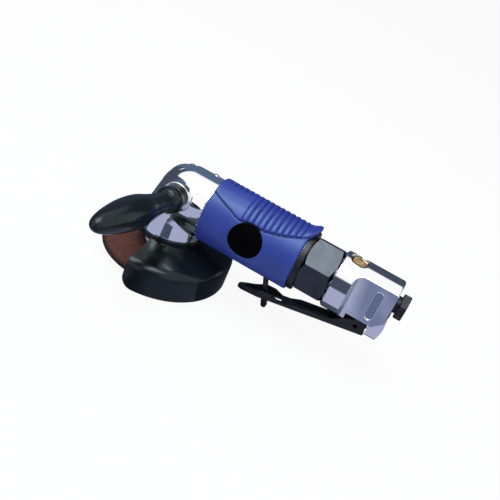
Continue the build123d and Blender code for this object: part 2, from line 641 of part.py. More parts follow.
def guard_screw():
    half = EAR_SLOT / 2 + EAR_THICKNESS
    screw = clamp_bar(CLAMP_SCREW_R, -half, half + CLAMP_NUT + 1)
    screw += clamp_bar(CLAMP_HEAD_R, -half - CLAMP_HEAD, -half)
    screw -= clamp_bar(CLAMP_SCREW_R * 0.75, -half - CLAMP_HEAD, -half - CLAMP_HEAD / 2)
    return Rot(0, 0, EAR_TURN) * screw


def guard_nut():
    half = EAR_SLOT / 2 + EAR_THICKNESS
    profile = Plane.XZ * RegularPolygon(CLAMP_NUT_R, 6)
    place = Pos(COLLAR_R + 0.58 * EAR_REACH, half, COLLAR_TOP_Z - COLLAR_HEIGHT / 2)
    nut = place * extrude(profile, -CLAMP_NUT)
    return Rot(0, 0, EAR_TURN) * (nut - clamp_bar(CLAMP_SCREW_R + SEAT, half - 1, half + CLAMP_NUT + 1))


def handle_washer():
    ring = rod_y(WASHER_R, WASHER_Y, -BOSS_Y, HANDLE_X, HANDLE_Z)
    return ring - rod_y(STUD_R + SEAT, WASHER_Y, -BOSS_Y, HANDLE_X, HANDLE_Z)


def handle_stud():
    return rod_y(STUD_R - SEAT, WASHER_Y - STUD_REACH, STUD_HOLE - BOSS_Y, HANDLE_X, HANDLE_Z)


def grip():
    """The leaf-shaped grip turned about +X from the ball's centre, as one smooth profile."""
    share = [(0.0, GRIP_NECK_R), (0.15, GRIP_NECK_R), (0.3, GRIP_R * 0.775), (0.46, GRIP_R * 0.98),
             (0.62, GRIP_R * 0.98), (0.76, GRIP_R * 0.845), (0.89, GRIP_R * 0.625), (0.965, GRIP_R * 0.39),
             (1.0, 0.0)]
    points = [(GRIP_LENGTH * s, r, 0) for s, r in share]
    curve = Spline(*points, tangents=[(1, 0, 0), (0, -1, 0)])
    foot = Polyline(points[-1], (0, 0, 0), points[0])
    return revolve(make_face([curve, foot]), Axis.X)


def side_handle():
    lean = Pos(HANDLE_X, BALL_Y, HANDLE_Z) * Rot(0, 0, -90 - GRIP_SWEEP) * Rot(0, -GRIP_LIFT, 0)
    collar = Pos(HANDLE_X, BALL_Y, HANDLE_Z) * Sphere(BALL_R)
    collar += rod_y(BALL_R * 0.9, BALL_Y, WASHER_Y, HANDLE_X, HANDLE_Z)
    collar &= block(HANDLE_X - 2 * BALL_R, HANDLE_X + 2 * BALL_R, BALL_Y - 2 * BALL_R, WASHER_Y,
                    HANDLE_Z - 2 * BALL_R, HANDLE_Z + 2 * BALL_R)
    handle = collar + lean * grip()
    return handle - rod_y(STUD_R, WASHER_Y - STUD_REACH, WASHER_Y, HANDLE_X, HANDLE_Z)


def motor_housing():
    tube = rod_x(NECK_R, NECK_END_X, MOTOR_TUBE_END_X)
    tube += rod_x(NECK_SOCKET_R - SEAT, NECK_SHOULDER_X, NECK_END_X)
    return tube - rod_x(HOUSING_BORE_R, NECK_SHOULDER_X, MOTOR_TUBE_END_X)


def end_plate(x, bearing_x):
    plate = rod_x(HOUSING_BORE_R - SEAT, x, x + PLATE_WIDTH) - rod_x(PLATE_HOLE_R, x, x + PLATE_WIDTH)
    plate -= rod_x(ROTOR_BEARING_R + SEAT, bearing_x, bearing_x + ROTOR_BEARING_WIDTH)
    return plate - pin_hole()


def pin_hole():
    """The cylinder pin's hole through the stack, below the motor axis."""
    return rod_x(CYLINDER_PIN_R + SEAT, CYLINDER_X - CYLINDER_PIN / 2, CYLINDER_X + CYLINDER_PIN / 2,
                 z=pin_z())


def pin_z():
    return -(CYLINDER_BORE_R + ECCENTRICITY + HOUSING_BORE_R) / 2


def cylinder_liner():
    """The motor's cylinder: its bore sits off the rotor's axis, with the wide side downwards."""
    liner = rod_x(HOUSING_BORE_R - SEAT, CYLINDER_X, REAR_PLATE_X)
    liner -= rod_x(CYLINDER_BORE_R, CYLINDER_X, REAR_PLATE_X, z=-ECCENTRICITY)
    return liner - pin_hole()


def cylinder_pin():
    return rod_x(CYLINDER_PIN_R, CYLINDER_X - CYLINDER_PIN / 2, CYLINDER_X + CYLINDER_PIN / 2, z=pin_z())


def vane_boxes(thickness, x0, x1, inner_r, outer_r):
    return [Rot(i * 360 / VANE_COUNT, 0, 0) * block(x0, x1, -thickness / 2, thickness / 2, inner_r, outer_r)
            for i in range(VANE_COUNT)]


def rotor():
    x0 = CYLINDER_X + ROTOR_END_GAP
    x1 = REAR_PLATE_X - ROTOR_END_GAP
    rear = REAR_PLATE_X + PLATE_WIDTH
    body = rod_x(ROTOR_R, x0, x1) + rod_x(SHAFT_R, GEAR_PITCH_R + PINION_HUB, rear)
    body += rod_x(PINION_BORE_R, GEAR_PITCH_R * INNER_SHARE + GAP, x0)
    for box in vane_boxes(VANE_THICKNESS + 2 * RUN, x0, x1, ROTOR_R - VANE_DEPTH, ROTOR_R + 1):
        body -= box
    return body


def vanes():
    x0 = CYLINDER_X + ROTOR_END_GAP
    x1 = REAR_PLATE_X - ROTOR_END_GAP
    boxes = vane_boxes(VANE_THICKNESS, x0, x1, ROTOR_R - VANE_DEPTH, ROTOR_R - GAP)
    return Compound(children=[box.solid() for box in boxes])


def gasket():
    disc = rod_x(HOUSING_BORE_R - SEAT, GASKET_X, COUPLING_X)
    return disc - rod_x(ROTOR_BEARING_R - 2, GASKET_X, COUPLING_X)


def pad_outline():
    """The palm pad seen from above: widest behind the thumb rest, drawn in to the beak."""
    def edge(x, angle):
        return (x, PAD_R * math.sin(math.radians(angle)))

    front = edge(SLEEVE_START_X, PAD_FRONT_ANGLE)
    wide = edge(PAD_WIDE_X, PAD_WIDE_ANGLE)
    tip = (SLEEVE_END_X + BEAK_REACH, BEAK_HALF_WIDTH)
    behind = Spline(wide, edge(PAD_REAR_X, PAD_REAR_ANGLE), edge(PAD_TAIL_X, PAD_TAIL_ANGLE), tip)
    side = [Line((front[0], 0), front), Line(front, wide), behind, Line(tip, (tip[0], 0))]
    half = make_face(side + [Line((tip[0], 0), (front[0], 0))])
    return half + mirror(half, Plane.XZ)


def pad_half_width(x):
    """Half the grooves' width seen from above, inside the pad's edge, at a place along X."""
    edge = [(SLEEVE_START_X, PAD_FRONT_ANGLE), (PAD_WIDE_X, PAD_WIDE_ANGLE), (PAD_REAR_X, PAD_REAR_ANGLE),
            (PAD_TAIL_X, PAD_TAIL_ANGLE)]
    for (x0, angle0), (x1, angle1) in zip(edge, edge[1:]):
        if x <= x1 or x1 == PAD_TAIL_X:
            angle = angle0 + (angle1 - angle0) * (x - x0) / (x1 - x0)
            return PAD_R * math.sin(math.radians(angle - RIB_MARGIN))


def rib_grooves():
    """The grooves between the pad's ribs: across its rear part, and on the far side of the thumb rest."""
    grooves = []
    for i in range(-SHORT_RIB_COUNT, RIB_COUNT):
        x0 = RIB_START_X + i * RIB_PITCH
        x1 = x0 + RIB_GROOVE
        half = pad_half_width(x1 if i < 0 else x0)
        ring = rod_x(PAD_R + 1, x0, x1) - rod_x(SLEEVE_R - RIB_SINK, x0, x1)
        grooves.append(ring & block(x0, x1, SHORT_RIB_Y if i < 0 else -half, half, 0, 2 * PAD_R))
    return grooves


def palm_pad():
    """The raised pad and the beak that lifts off behind the sleeve."""
    pad = rod_x(PAD_R, SLEEVE_START_X, SLEEVE_END_X)
    root_x = SLEEVE_END_X - BEAK_ROOT
    tip_x = SLEEVE_END_X + BEAK_REACH
    arch_r = BEAK_FLATTEN * PAD_R
    arch = rod_x(arch_r, -2, tip_x) - rod_x(arch_r - BEAK_THICKNESS, -3, tip_x + 1)
    lift = math.degrees(math.atan2(BEAK_LIFT, tip_x - root_x))
    beak = Pos(root_x, 0, PAD_R - BEAK_SINK) * Rot(0, -lift, 0) * Pos(0, 0, -arch_r) * arch
    beak &= block(root_x, tip_x, -PAD_R, PAD_R, 0, 2 * PAD_R)
    return (pad + beak) & extrude(pad_outline(), 2 * PAD_R)


def grip_sleeve():
    sleeve = rod_x(SLEEVE_R, SLEEVE_START_X, SLEEVE_END_X) + palm_pad() - badge_plug(BADGE_R + SEAT)
    sleeve += badge_plug(BADGE_R + SEAT) & rod_x(SLEEVE_R - BADGE_SINK, SLEEVE_START_X, SLEEVE_END_X)
    for groove in rib_grooves():
        sleeve -= groove
    return sleeve - rod_x(SLEEVE_BORE_R, SLEEVE_START_X - 1, SLEEVE_END_X)


def badge_plug(radius):
    """A round bar standing out of the near side of the sleeve, at the badge."""
    bar = rod_y(radius, -SLEEVE_R - 2, -SLEEVE_BORE_R / 2, BADGE_X)
    return Rot(-BADGE_ANGLE, 0, 0) * bar


def badge():
    skin = rod_x(SLEEVE_R + BADGE_RISE, SLEEVE_START_X, SLEEVE_END_X)
    skin -= rod_x(SLEEVE_R - BADGE_SINK, SLEEVE_START_X, SLEEVE_END_X)
    return badge_plug(BADGE_R) & skin


def exhaust_ring():
    return rod_x(RING_R, RING_X, MOTOR_TUBE_END_X) - rod_x(NECK_R + SEAT, RING_X, MOTOR_TUBE_END_X)


def coupling_nut():
    nut = hexagon_x(NUT_FLATS, MOTOR_TUBE_END_X, HOUSING_X, NUT_TURN, NUT_CHAMFER)
    nut += rod_x(HOUSING_BORE_R - SEAT, COUPLING_X, MOTOR_TUBE_END_X)
    nut -= rod_x(NUT_BORE_R, COUPLING_X, HOUSING_X)
    return nut - rod_x(HOUSING_SPIGOT_R + SEAT, SPIGOT_X, HOUSING_X)


def panel_sink(side):
    """A shallow oblong with round ends, standing in one flat."""
    half = PANEL_LENGTH / 2 - PANEL_WIDTH / 2
    x = HOUSING_END_X - PANEL_FROM
    y0 = side * (FLAT_Y - PANEL_DEPTH)
    y1 = side * (FLAT_Y + 1)
    sink = block(x - PANEL_WIDTH / 2, x + PANEL_WIDTH / 2, y0, y1, PANEL_Z - half, PANEL_Z + half)
    for end in (-half, half):
        sink += rod_y(PANEL_WIDTH / 2, y0, y1, x, PANEL_Z + end)
    return sink


def corner_step(side):
    """The three-cornered step where a flat runs into the rear block."""
    face = make_face(Polyline((HOUSING_END_X - CORNER_RUN, 0, UNDERCUT_Z), (HOUSING_END_X + 1, 0, UNDERCUT_Z),
                              (HOUSING_END_X + 1, 0, UNDERCUT_Z + CORNER_RISE), close=True))
    step = extrude(face, HOUSING_R, dir=(0, side, 0))
    return Pos(0, side * BLOCK_WIDTH / 2, 0) * step


def flat_cuts(side):
    """What is milled away for one flat: the flat, its round run-out in front and the wall outside that."""
    flat_x = HOUSING_X + FLAT_FROM
    reach = HOUSING_R + 1
    runout_y = FLAT_Y + RUNOUT_R
    return [block(flat_x, HOUSING_END_X + 1, side * FLAT_Y, side * reach, -reach, reach),
            rod_z(RUNOUT_R, -reach, reach, flat_x, side * runout_y),
            block(flat_x - RUNOUT_R, flat_x, side * runout_y, side * (runout_y + HOUSING_R), -reach, reach)]


def throttle_housing():
    rear = HOUSING_END_X - HOUSING_CHAMFER
    front = HOUSING_X + HOUSING_CHAMFER
    body = turned_x([(HOUSING_X, 0), (HOUSING_X, HOUSING_R - HOUSING_CHAMFER), (front, HOUSING_R),
                     (rear, HOUSING_R), (HOUSING_END_X, HOUSING_R - HOUSING_CHAMFER), (HOUSING_END_X, 0)])
    body += rod_x(HOUSING_SPIGOT_R, SPIGOT_X, HOUSING_X)
    for side in (-1, 1):
        for cut in flat_cuts(side):
            body -= cut
        body -= panel_sink(side) + corner_step(side)
    body -= block(HOUSING_X + UNDERCUT_FROM, HOUSING_END_X + 1, -HOUSING_R, HOUSING_R,
                  -HOUSING_R - 1, UNDERCUT_Z)
    half = BLOCK_WIDTH / 2
    body += block(BLOCK_X, HOUSING_END_X, -half, half, BLOCK_BOTTOM_Z, UNDERCUT_Z)
    body += block(PIVOT_X - LUG_R, PIVOT_X + LUG_R, -LUG_WIDTH / 2, LUG_WIDTH / 2, PIVOT_Z, UNDERCUT_Z)
    body += rod_y(LUG_R, -LUG_WIDTH / 2, LUG_WIDTH / 2, PIVOT_X, PIVOT_Z)
    body -= rod_y(PIVOT_PIN_R + SEAT, -LUG_WIDTH, LUG_WIDTH, PIVOT_X, PIVOT_Z)
    body -= rod_z(VALVE_BORE_R, -HOUSING_R - 1, HOUSING_R + 1, VALVE_X)
    body -= rod_z(CAP_R + SEAT, CAP_SEAT_Z, HOUSING_R + 1, VALVE_X)
    body -= rod_x(FEED_R, SPIGOT_X, VALVE_X, z=FEED_Z)
    body -= rod_x(INLET_PASSAGE_R, VALVE_X, HOUSING_END_X, z=INLET_Z)
    return body - rod_x(INLET_THREAD_R + SEAT, HOUSING_END_X - INLET_THREAD, HOUSING_END_X + 1, z=INLET_Z)


def valve_bush():
    bush = rod_z(VALVE_BORE_R - SEAT, BUSH_BOTTOM_Z, BUSH_TOP_Z)
    bush -= rod_z(STEM_R + RUN, BUSH_BOTTOM_Z, BUSH_TOP_Z)
    chamber = rod_z(STEM_HEAD_R * 0.75, 2 * FEED_Z - FEED_R, BUSH_TOP_Z)
    window = rod_x(FEED_R * 0.5, -VALVE_BORE_R, 0, z=1.5 * FEED_Z)
    return Pos(VALVE_X, 0, 0) * (bush - chamber - window)


def web_height(x):
    """Height of the lever's web above the motor axis, at rest, at a place along X."""
    return PIVOT_Z - (PIVOT_X - x) * math.tan(SLOPE) + WEB_TOP / math.cos(SLOPE)


def valve_stem():
    tip = web_height(VALVE_X + STEM_R) + VALVE_REST
    stem = rod_z(STEM_R, tip, BUSH_TOP_Z + STEM_HEAD) + rod_z(STEM_HEAD_R, BUSH_TOP_Z, BUSH_TOP_Z + STEM_HEAD)
    return Pos(VALVE_X, 0, 0) * stem


def valve_spring():
    low = BUSH_TOP_Z + STEM_HEAD + SPRING_WIRE_R
    length = CAP_SEAT_Z - SPRING_WIRE_R - low
    return Pos(VALVE_X, 0, low) * coil("valve spring", SPRING_R, SPRING_WIRE_R, length, SPRING_TURNS)


def valve_cap():
    top = CAP_SEAT_Z + CAP_HEIGHT - BUSH_END
    socket = RegularPolygon(CAP_FLATS / 2, 6, major_radius=False, rotation=30)
    cap = rod_z(CAP_R, CAP_SEAT_Z, top) - Pos(0, 0, top - CAP_SOCKET) * extrude(socket, CAP_SOCKET)
    return Pos(VALVE_X, 0, 0) * cap


def inlet_bushing():
    bushing = rod_x(INLET_THREAD_R, HOUSING_END_X - INLET_THREAD, HOUSING_END_X)
    bushing += rod_x(INLET_NECK_R, HOUSING_END_X, INLET_HEAD_X)
    bushing += hexagon_x(INLET_FLATS, INLET_HEAD_X, INLET_END_X, 0, INLET_CHAMFER)
    bushing -= rod_x(INLET_PASSAGE_R, HOUSING_END_X - INLET_THREAD, INLET_END_X)
    bushing -= rod_x(INLET_BORE_R, INLET_END_X - INLET_BORE, INLET_END_X)
    screen_x = HOUSING_END_X - INLET_THREAD
    bushing -= rod_x(SCREEN_R + SEAT, screen_x, screen_x + SCREEN_THICKNESS)
    return Pos(0, 0, INLET_Z) * bushing


def inlet_screen():
    x = HOUSING_END_X - INLET_THREAD
    disc = rod_x(SCREEN_R, x, x + SCREEN_THICKNESS)
    for ring, count in ((0, 1), (2.0, 6)):
        for i in range(count):
            angle = 2 * math.pi * i / count
            y = ring * math.cos(angle)
            z = ring * math.sin(angle)
            disc -= rod_x(SCREEN_HOLE_R, x, x + SCREEN_THICKNESS, y, z)
    return Pos(0, 0, INLET_Z) * disc


def on_lever():
    """Place from the lever's frame: +X back to the tail, +Z square to its sole, origin in the pivot."""
    return Pos(PIVOT_X, 0, PIVOT_Z) * Rot(0, -LEVER_REST, 0)


def lever_prism(points, half_width):
    """A side view drawn as (forward, up) corners, carried across the lever's width."""
    face = make_face(Polyline(*[(-u, -half_width, w) for u, w in points], close=True))
    return extrude(face, 2 * half_width, dir=(0, 1, 0))


def lever_side():
    """The lever's side view, carried across its full width."""
    sole = -LEVER_SOLE
    rail = sole + LEVER_RAIL
    ear = EAR_RISE - LATCH_DROP
    saddle = WEB_TOP + SADDLE_RISE
    return lever_prism([
        (LEVER_TIP, sole + TIP_RISE), (LEVER_TIP, WEB_TOP + TIP_RISE), (LATCH_FROM + EAR_FRONT, rail),
        (LATCH_FROM, ear), (LATCH_FROM - EAR_BACK, ear - EAR_FALL), (LATCH_FROM - SADDLE_FROM, saddle),
        (LATCH_FROM - SADDLE_TO, saddle), (LATCH_FROM - RAIL_FROM, rail), (LEVER_HEAD_FOOT, rail),
        (LEVER_HEAD_FRONT, LEVER_HEAD), (LEVER_EDGE - LEVER_TAIL, LEVER_HEAD),
        (-LEVER_TAIL, LEVER_HEAD - LEVER_EDGE), (-LEVER_TAIL, sole + LEVER_EDGE),
        (LEVER_EDGE - LEVER_TAIL, sole), (LEVER_TIP - TIP_SLOPE, sole)], LEVER_WIDTH / 2)


def lever_plan():
    """The lever seen from above, drawn in to its tip, as a tall block."""
    tip = LEVER_TIP_WIDTH / 2
    wide = LEVER_WIDTH / 2
    shoulder = LATCH_FROM + SHOULDER
    outline = make_face(Polyline(
        (LEVER_TAIL + 1, -wide), (-shoulder, -wide), (-LEVER_TIP + tip, -tip), (-LEVER_TIP, -tip * 0.5),
        (-LEVER_TIP, tip * 0.5), (-LEVER_TIP + tip, tip), (-shoulder, wide), (LEVER_TAIL + 1, wide),
        close=True))
    return Pos(0, 0, -2 * LEVER_SOLE) * extrude(outline, 4 * LEVER_SOLE)


def lever_cuts():
    """The channel along the lever, the room for the housing's lug, and the latch's slot and groove."""
    low = -LEVER_SOLE - 1
    tail = LEVER_TAIL + 1
    latch_x = -LATCH_FROM
    half = LEVER_WIDTH / 2 - LEVER_WALL
    slot_half = LATCH_WIDTH / 2 + GAP
    return [
        block(latch_x - EAR_FRONT + 1, tail, -half, half, WEB_TOP, LEVER_HEAD + 1),
        block(-LUG_R - GAP, tail, -half, half, low, WEB_TOP),
        block(latch_x - LATCH_HUB_R - GAP, latch_x + LATCH_TAB + 1, -slot_half, slot_half, low, WEB_TOP),
        block(latch_x - LATCH_ARM - 1, latch_x, -slot_half, slot_half, WEB_TOP, LEVER_HEAD)]


def throttle_lever():
    lever = lever_side() & lever_plan()
    for cut in lever_cuts():
        lever -= cut
    lever -= rod_y(PIVOT_PIN_R + RUN, -LEVER_WIDTH, LEVER_WIDTH)
    lever -= rod_y(LATCH_PIN_R + SEAT, -LEVER_WIDTH, LEVER_WIDTH, -LATCH_FROM, -LATCH_DROP)
    return on_lever() * lever


def lever_pin():
    return rod_y(PIVOT_PIN_R, -LEVER_WIDTH / 2, LEVER_WIDTH / 2, PIVOT_X, PIVOT_Z)


def on_latch():
    """Place from the latch's own frame: +Z along its arm, origin in its pin."""
    return on_lever() * Pos(-LATCH_FROM, 0, -LATCH_DROP) * Rot(0, -LATCH_LEAN, 0)


def latch_pin():
    return on_lever() * rod_y(LATCH_PIN_R, -LEVER_WIDTH / 2, LEVER_WIDTH / 2, -LATCH_FROM, -LATCH_DROP)


def safety_latch():
    half = LATCH_WIDTH / 2
    arm_end = LATCH_ARM - LATCH_ARM_R
    tab_end = LATCH_TAB - LATCH_TAB_R
    latch = rod_y(LATCH_HUB_R, -half, half)
    latch += block(-LATCH_ARM_R, LATCH_ARM_R, -half, half, 0, arm_end)
    latch += rod_y(LATCH_ARM_R, -half, half, z=arm_end)
    latch += block(-LATCH_TAB_R, LATCH_TAB_R, -half, half, -tab_end, 0)
    latch += rod_y(LATCH_TAB_R, -half, half, z=-tab_end)
    return on_latch() * (latch - rod_y(LATCH_PIN_R + RUN, -half, half))


def latch_spring():
    """A small torsion spring on the latch pin, between the latch and the far wall of the lever."""
    radius = LATCH_PIN_R + LATCH_SPRING_WIRE_R + 0.2
    start = LATCH_WIDTH / 2 + LATCH_SPRING_WIRE_R + 0.2
    room = LEVER_WIDTH / 2 - LEVER_WALL - LATCH_SPRING_WIRE_R - 0.1
    wound = coil("latch spring", radius, LATCH_SPRING_WIRE_R, room - start, LATCH_SPRING_TURNS)
    return on_lever() * Pos(-LATCH_FROM, start, -LATCH_DROP) * Rot(-90, 0, 0) * wound


def lay_along_x(shape, x):
    """Turn a piece made about Z so that its base stands on a plane across X."""
    return Pos(x, 0, 0) * Rot(0, 90, 0) * shape


def bearings():
    """The four ball bearings, as outer rings, inner rings and balls."""
    pieces = {}
    upper = ball_bearing(SPINDLE_TOP_R + SEAT, UPPER_OUTER_R, UPPER_WIDTH, 8)
    lower = ball_bearing(SPINDLE_BEARING_R + SEAT, LOWER_OUTER_R, LOWER_WIDTH, 9)
    motor = ball_bearing(SHAFT_R + SEAT, ROTOR_BEARING_R, ROTOR_BEARING_WIDTH, 7)
    rear_x = GASKET_X - ROTOR_BEARING_WIDTH
    for i, ring in enumerate(("outer", "inner", "balls")):
        pieces[f"upper_bearing_{ring}"] = Pos(0, 0, UPPER_SHOULDER_Z) * upper[i]
        pieces[f"lower_bearing_{ring}"] = Pos(0, 0, LOWER_Z) * lower[i]
        pieces[f"front_bearing_{ring}"] = lay_along_x(motor[i], FRONT_PLATE_X)
        pieces[f"rear_bearing_{ring}"] = lay_along_x(motor[i], rear_x)
    return pieces


def all_pieces():
    pieces = {
        "angle_head": angle_head(),
        "grease_fitting": grease_fitting(),
        "neck_screw": neck_screw(),
        "bearing_cap": bearing_cap(),
        "spindle_seal": spindle_seal(),
        "handle_washer": handle_washer(),
        "handle_stud": handle_stud(),
        "side_handle": side_handle(),
        "spindle": spindle(),
        "bevel_gear": bevel_gear(),
        "gear_key": key_slot(0),
        "inner_flange": inner_flange(),
        "grinding_wheel": grinding_wheel(),
        "disc_nut": disc_nut(),
        "guard": guard(),
        "guard_screw": guard_screw(),
        "guard_nut": guard_nut(),
        "motor_housing": motor_housing(),
        "front_plate": end_plate(FRONT_PLATE_X, FRONT_PLATE_X),
        "rear_plate": end_plate(REAR_PLATE_X, GASKET_X - ROTOR_BEARING_WIDTH),
        "cylinder_liner": cylinder_liner(),
        "cylinder_pin": cylinder_pin(),
        "rotor": rotor(),
        "vanes": vanes(),
        "pinion": pinion(),
        "gasket": gasket(),
        "grip_sleeve": grip_sleeve(),
        "badge": badge(),
        "exhaust_ring": exhaust_ring(),
        "coupling_nut": coupling_nut(),
        "throttle_housing": throttle_housing(),
        "valve_bush": valve_bush(),
        "valve_stem": valve_stem(),
        "valve_spring": valve_spring(),
        "valve_cap": valve_cap(),
        "inlet_bushing": inlet_bushing(),
        "inlet_screen": inlet_screen(),
        "throttle_lever": throttle_lever(),
        "lever_pin": lever_pin(),
        "safety_latch": safety_latch(),
        "latch_pin": latch_pin(),
        "latch_spring": latch_spring(),
    }
    pieces.update(bearings())
    return pieces


os.makedirs("parts", exist_ok=True)
for name, piece in all_pieces().items():
    export_step(Pos(0, 0, AXIS_HEIGHT) * piece, f"parts/{name}.step")
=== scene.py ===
"""The looks of an air angle grinder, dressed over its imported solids.

Pieces are worked out in millimetres from the motor axis, as the solids are: X runs back to the air
inlet, Z points up, and the side handle points to -Y. make_piece() moves them into the shared frame.
"""

import json
import math
from collections import namedtuple

import bmesh
import bpy
import numpy as np
from mathutils import Matrix, Vector


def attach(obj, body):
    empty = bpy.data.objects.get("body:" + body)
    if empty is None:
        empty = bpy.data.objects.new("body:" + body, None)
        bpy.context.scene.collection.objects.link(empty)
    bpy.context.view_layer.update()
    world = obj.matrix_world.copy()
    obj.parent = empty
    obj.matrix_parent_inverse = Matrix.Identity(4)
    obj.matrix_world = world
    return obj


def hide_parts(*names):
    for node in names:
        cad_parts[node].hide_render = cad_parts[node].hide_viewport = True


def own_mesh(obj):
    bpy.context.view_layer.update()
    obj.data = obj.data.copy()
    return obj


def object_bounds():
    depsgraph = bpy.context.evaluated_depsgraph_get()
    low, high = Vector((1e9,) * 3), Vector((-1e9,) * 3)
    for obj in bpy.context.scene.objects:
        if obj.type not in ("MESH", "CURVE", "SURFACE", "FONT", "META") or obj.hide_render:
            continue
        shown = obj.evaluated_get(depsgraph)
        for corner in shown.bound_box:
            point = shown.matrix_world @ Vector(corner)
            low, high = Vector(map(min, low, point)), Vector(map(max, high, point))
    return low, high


AXIS_HEIGHT = 65.025     # of the motor axis above the origin of the frame
MM = 0.001
TAU = 2 * math.pi

# Angle head
ELBOW_R, ELBOW_END_X, ELBOW_FILLET, ELBOW_FADE_Z, SEAM_FILLET = 24.6, 28.2, 7.5, 8.0, 0.03
NECK_R, NECK_CAP_X, NECK_END_X = 23.0, 6.3, 35.0
CROWN_R, CROWN_Z = 15.4, 8.0
TOP_LEAN, SPOT_EASE = math.radians(22), 0.8
TOP_SPOTS = ((-1.5, 4.2, 22.4), (19.5, 3.2, 24.2))     # X, radius and height, for fitting and screw
FAR_SEAT_R, FAR_SEAT_Y, FAR_HOLE_R, FAR_HOLE_Y = 7.5, 20.4, 4.25, 14.4
FAR_RIDGE, FAR_PITCH = 0.4, 0.5
FAR_TILTS, FAR_TURNS = (48.0, 1.6), (53, 104)     # border of the far window, in degrees
RIM_R, RIM_Z, LIP = 27.9, -31.025, 1.4
BOSS_R, BOSS_Y, BOSS_DRAFT, BOSS_DROP, BOSS_EDGE, BOSS_FILLET = 10.4, 25.4, 0.1, 1.6, 1.2, 3.0
CAP_SPIGOT_R, LOWER_Z = 20.04, -26.025

# Side handle
HANDLE_X, HANDLE_Z, STUD_R = 4.7, 9.4, 4.3
WASHER_R, WASHER_Y = 11.3, -27.0
BALL_R, BALL_Y = 10.9, -36.0
GRIP_LENGTH, GRIP_R, GRIP_NECK_R = 94.4, 12.5, 8.0
GRIP_SWEEP, GRIP_LIFT = math.radians(7.8), math.radians(6.2)
HANDLE_COLLAR_R, CREASE_DEPTH, CREASE_WIDTH = 0.9 * BALL_R, 0.55, 0.7

# Wheel and guard
WHEEL_R, WHEEL_SEAT_Z, WHEEL_THICKNESS, WHEEL_FACE_Z = 50.0, -49.525, 3.0, -58.825
WHEEL_BORE_R, WHEEL_HUB_R, WHEEL_STEP_R = 8.0, 19.0, 27.0
GUARD_R, GUARD_SHEET, GUARD_RIM_Z, GUARD_EDGE_R = 59.4, 1.8, -65.625, 9.0
GUARD_TOP_Z, GUARD_EDGE_Z, GUARD_CORNER_R = -33.825, -41.825, 10.0
GUARD_FROM, GUARD_TO = math.radians(-93), math.radians(87)
COLLAR_IN_R, COLLAR_R, COLLAR_LOW_Z, COLLAR_TOP_Z = 25.85, 28.45, -36.625, -31.225
COLLAR_SEAM_Z = -34.0
EAR_TURN, EAR_REACH, EAR_FROM, EAR_TO = math.radians(106), 38.45, 1.0, 4.0

# Grip sleeve and badge
SLEEVE_R, SLEEVE_BORE_R, SLEEVE_X, SLEEVE_END_X = 27.0, 23.04, 28.6, 109.1
PAD_RISE, RIB_FROM, RIB_PITCH, RIB_COUNT, RIB_DEPTH = 0.4, 57.6, 4.65, 10, 1.15
PAD_GROOVE, PAD_GROOVE_WIDTH, THUMB_DEPTH = 0.75, 0.7, 0.5
BEAK_TIP_X, BEAK_LIFT, BEAK_ROOT_X, LIP_THICK = 114.3, 5.1, 103.6, 1.6
BEAK_DISH, BEAK_DISH_WIDTH = 0.7, 3.4
BADGE_X, BADGE_R, BADGE_TURN, BADGE_LIFT = 68.0, 14.0, math.radians(9), 0.13

# Ring, coupling nut, throttle housing and inlet bushing
RING_R, RING_BORE_R, RING_X, TUBE_END_X = 25.0, 23.2, 109.5, 113.7
NUT_FLATS, NUT_TURN, NUT_CHAMFER, NUT_BORE_R = 42.0, 4.4, 2.4, 15.1
NUT_SPIGOT_X, NUT_SPIGOT_R = 104.0, 19.9
HOUSING_X, HOUSING_END_X, HOUSING_R, HOUSING_CHAMFER = 138.5, 188.1, 24.0, 1.4
FLAT_X, FLAT_Y, FLAT_EASE, RUNOUT_R, WALL_X = 160.5, 13.0, 0.35, 7.0, 153.5
UNDERCUT_X, UNDERCUT_Z = 159.5, -15.2
BLOCK_X, BLOCK_Y, BLOCK_Z, BLOCK_LEAN, BLOCK_BULGE = 179.1, 12.3, -24.8, 0.9, 2.0
CORNER_X, CORNER_SLOPE = 181.1, 1.25
CROWN_TURN, CROWN_COLUMNS, FLAT_COLUMNS, FOOT_COLUMNS = math.radians(24), 16, (39, 72), 24
PANEL_X, PANEL_Z, PANEL_HALF, PANEL_R, PANEL_DEPTH = 175.6, 2.0, 9.8, 3.2, 0.6
PANEL_FROM_X, PANEL_TO_X = 168.6, 182.6
# the sunk floor's mark gives it the painted shade of the chrome finish
SATIN_MARK, BEAD_MARK, PANEL_MARK = 1.0, 0.55, 2.0     # of milled flats, the bead and the sunk floor
VALVE_X, VALVE_FROM_X, VALVE_TRAVEL = 150.5, 141.5, 2.6
CAP_R, CAP_SEAT_Z, CAP_TOP_Z, CAP_FLATS, CAP_FLOOR_Z = 8.0, 18.4, 22.8, 10.6, 19.4
INLET_Z, INLET_FLATS, INLET_HEAD_X, INLET_END_X, INLET_CHAMFER = 6.0, 20.0, 191.3, 197.5, 1.2
INLET_NECK_R, INLET_BORE_R, INLET_BORE, INLET_SPIGOT, INLET_SPIGOT_R = 7.0, 5.7, 14.0, 11.0, 8.2
INLET_RIDGE, INLET_PITCH = 0.55, 0.65

# Throttle lever and latch
PIVOT_X, PIVOT_Z, LEVER_SLOPE = 170.5, -25.8, math.radians(11.5)
PIN_R, LEVER_HALF, LEVER_WALL, SOLE, WEB_TOP, LEVER_TIP = 2.0, 6.2, 1.8, -6.0, -3.8, 101.2
LUG_R, LUG_HALF = 3.4, 3.6
LATCH_FROM, LATCH_DROP, LATCH_LEAN, LATCH_HALF = 78.2, 1.8, math.radians(6.1), 2.0
LATCH_HUB_R, LATCH_ARM, LATCH_ARM_R, LATCH_TAB, LATCH_TAB_R = 3.2, 15.16, 1.8, 14.5, 2.3
LATCH_PIN_R, LATCH_SLOT = 1.0, 2.4

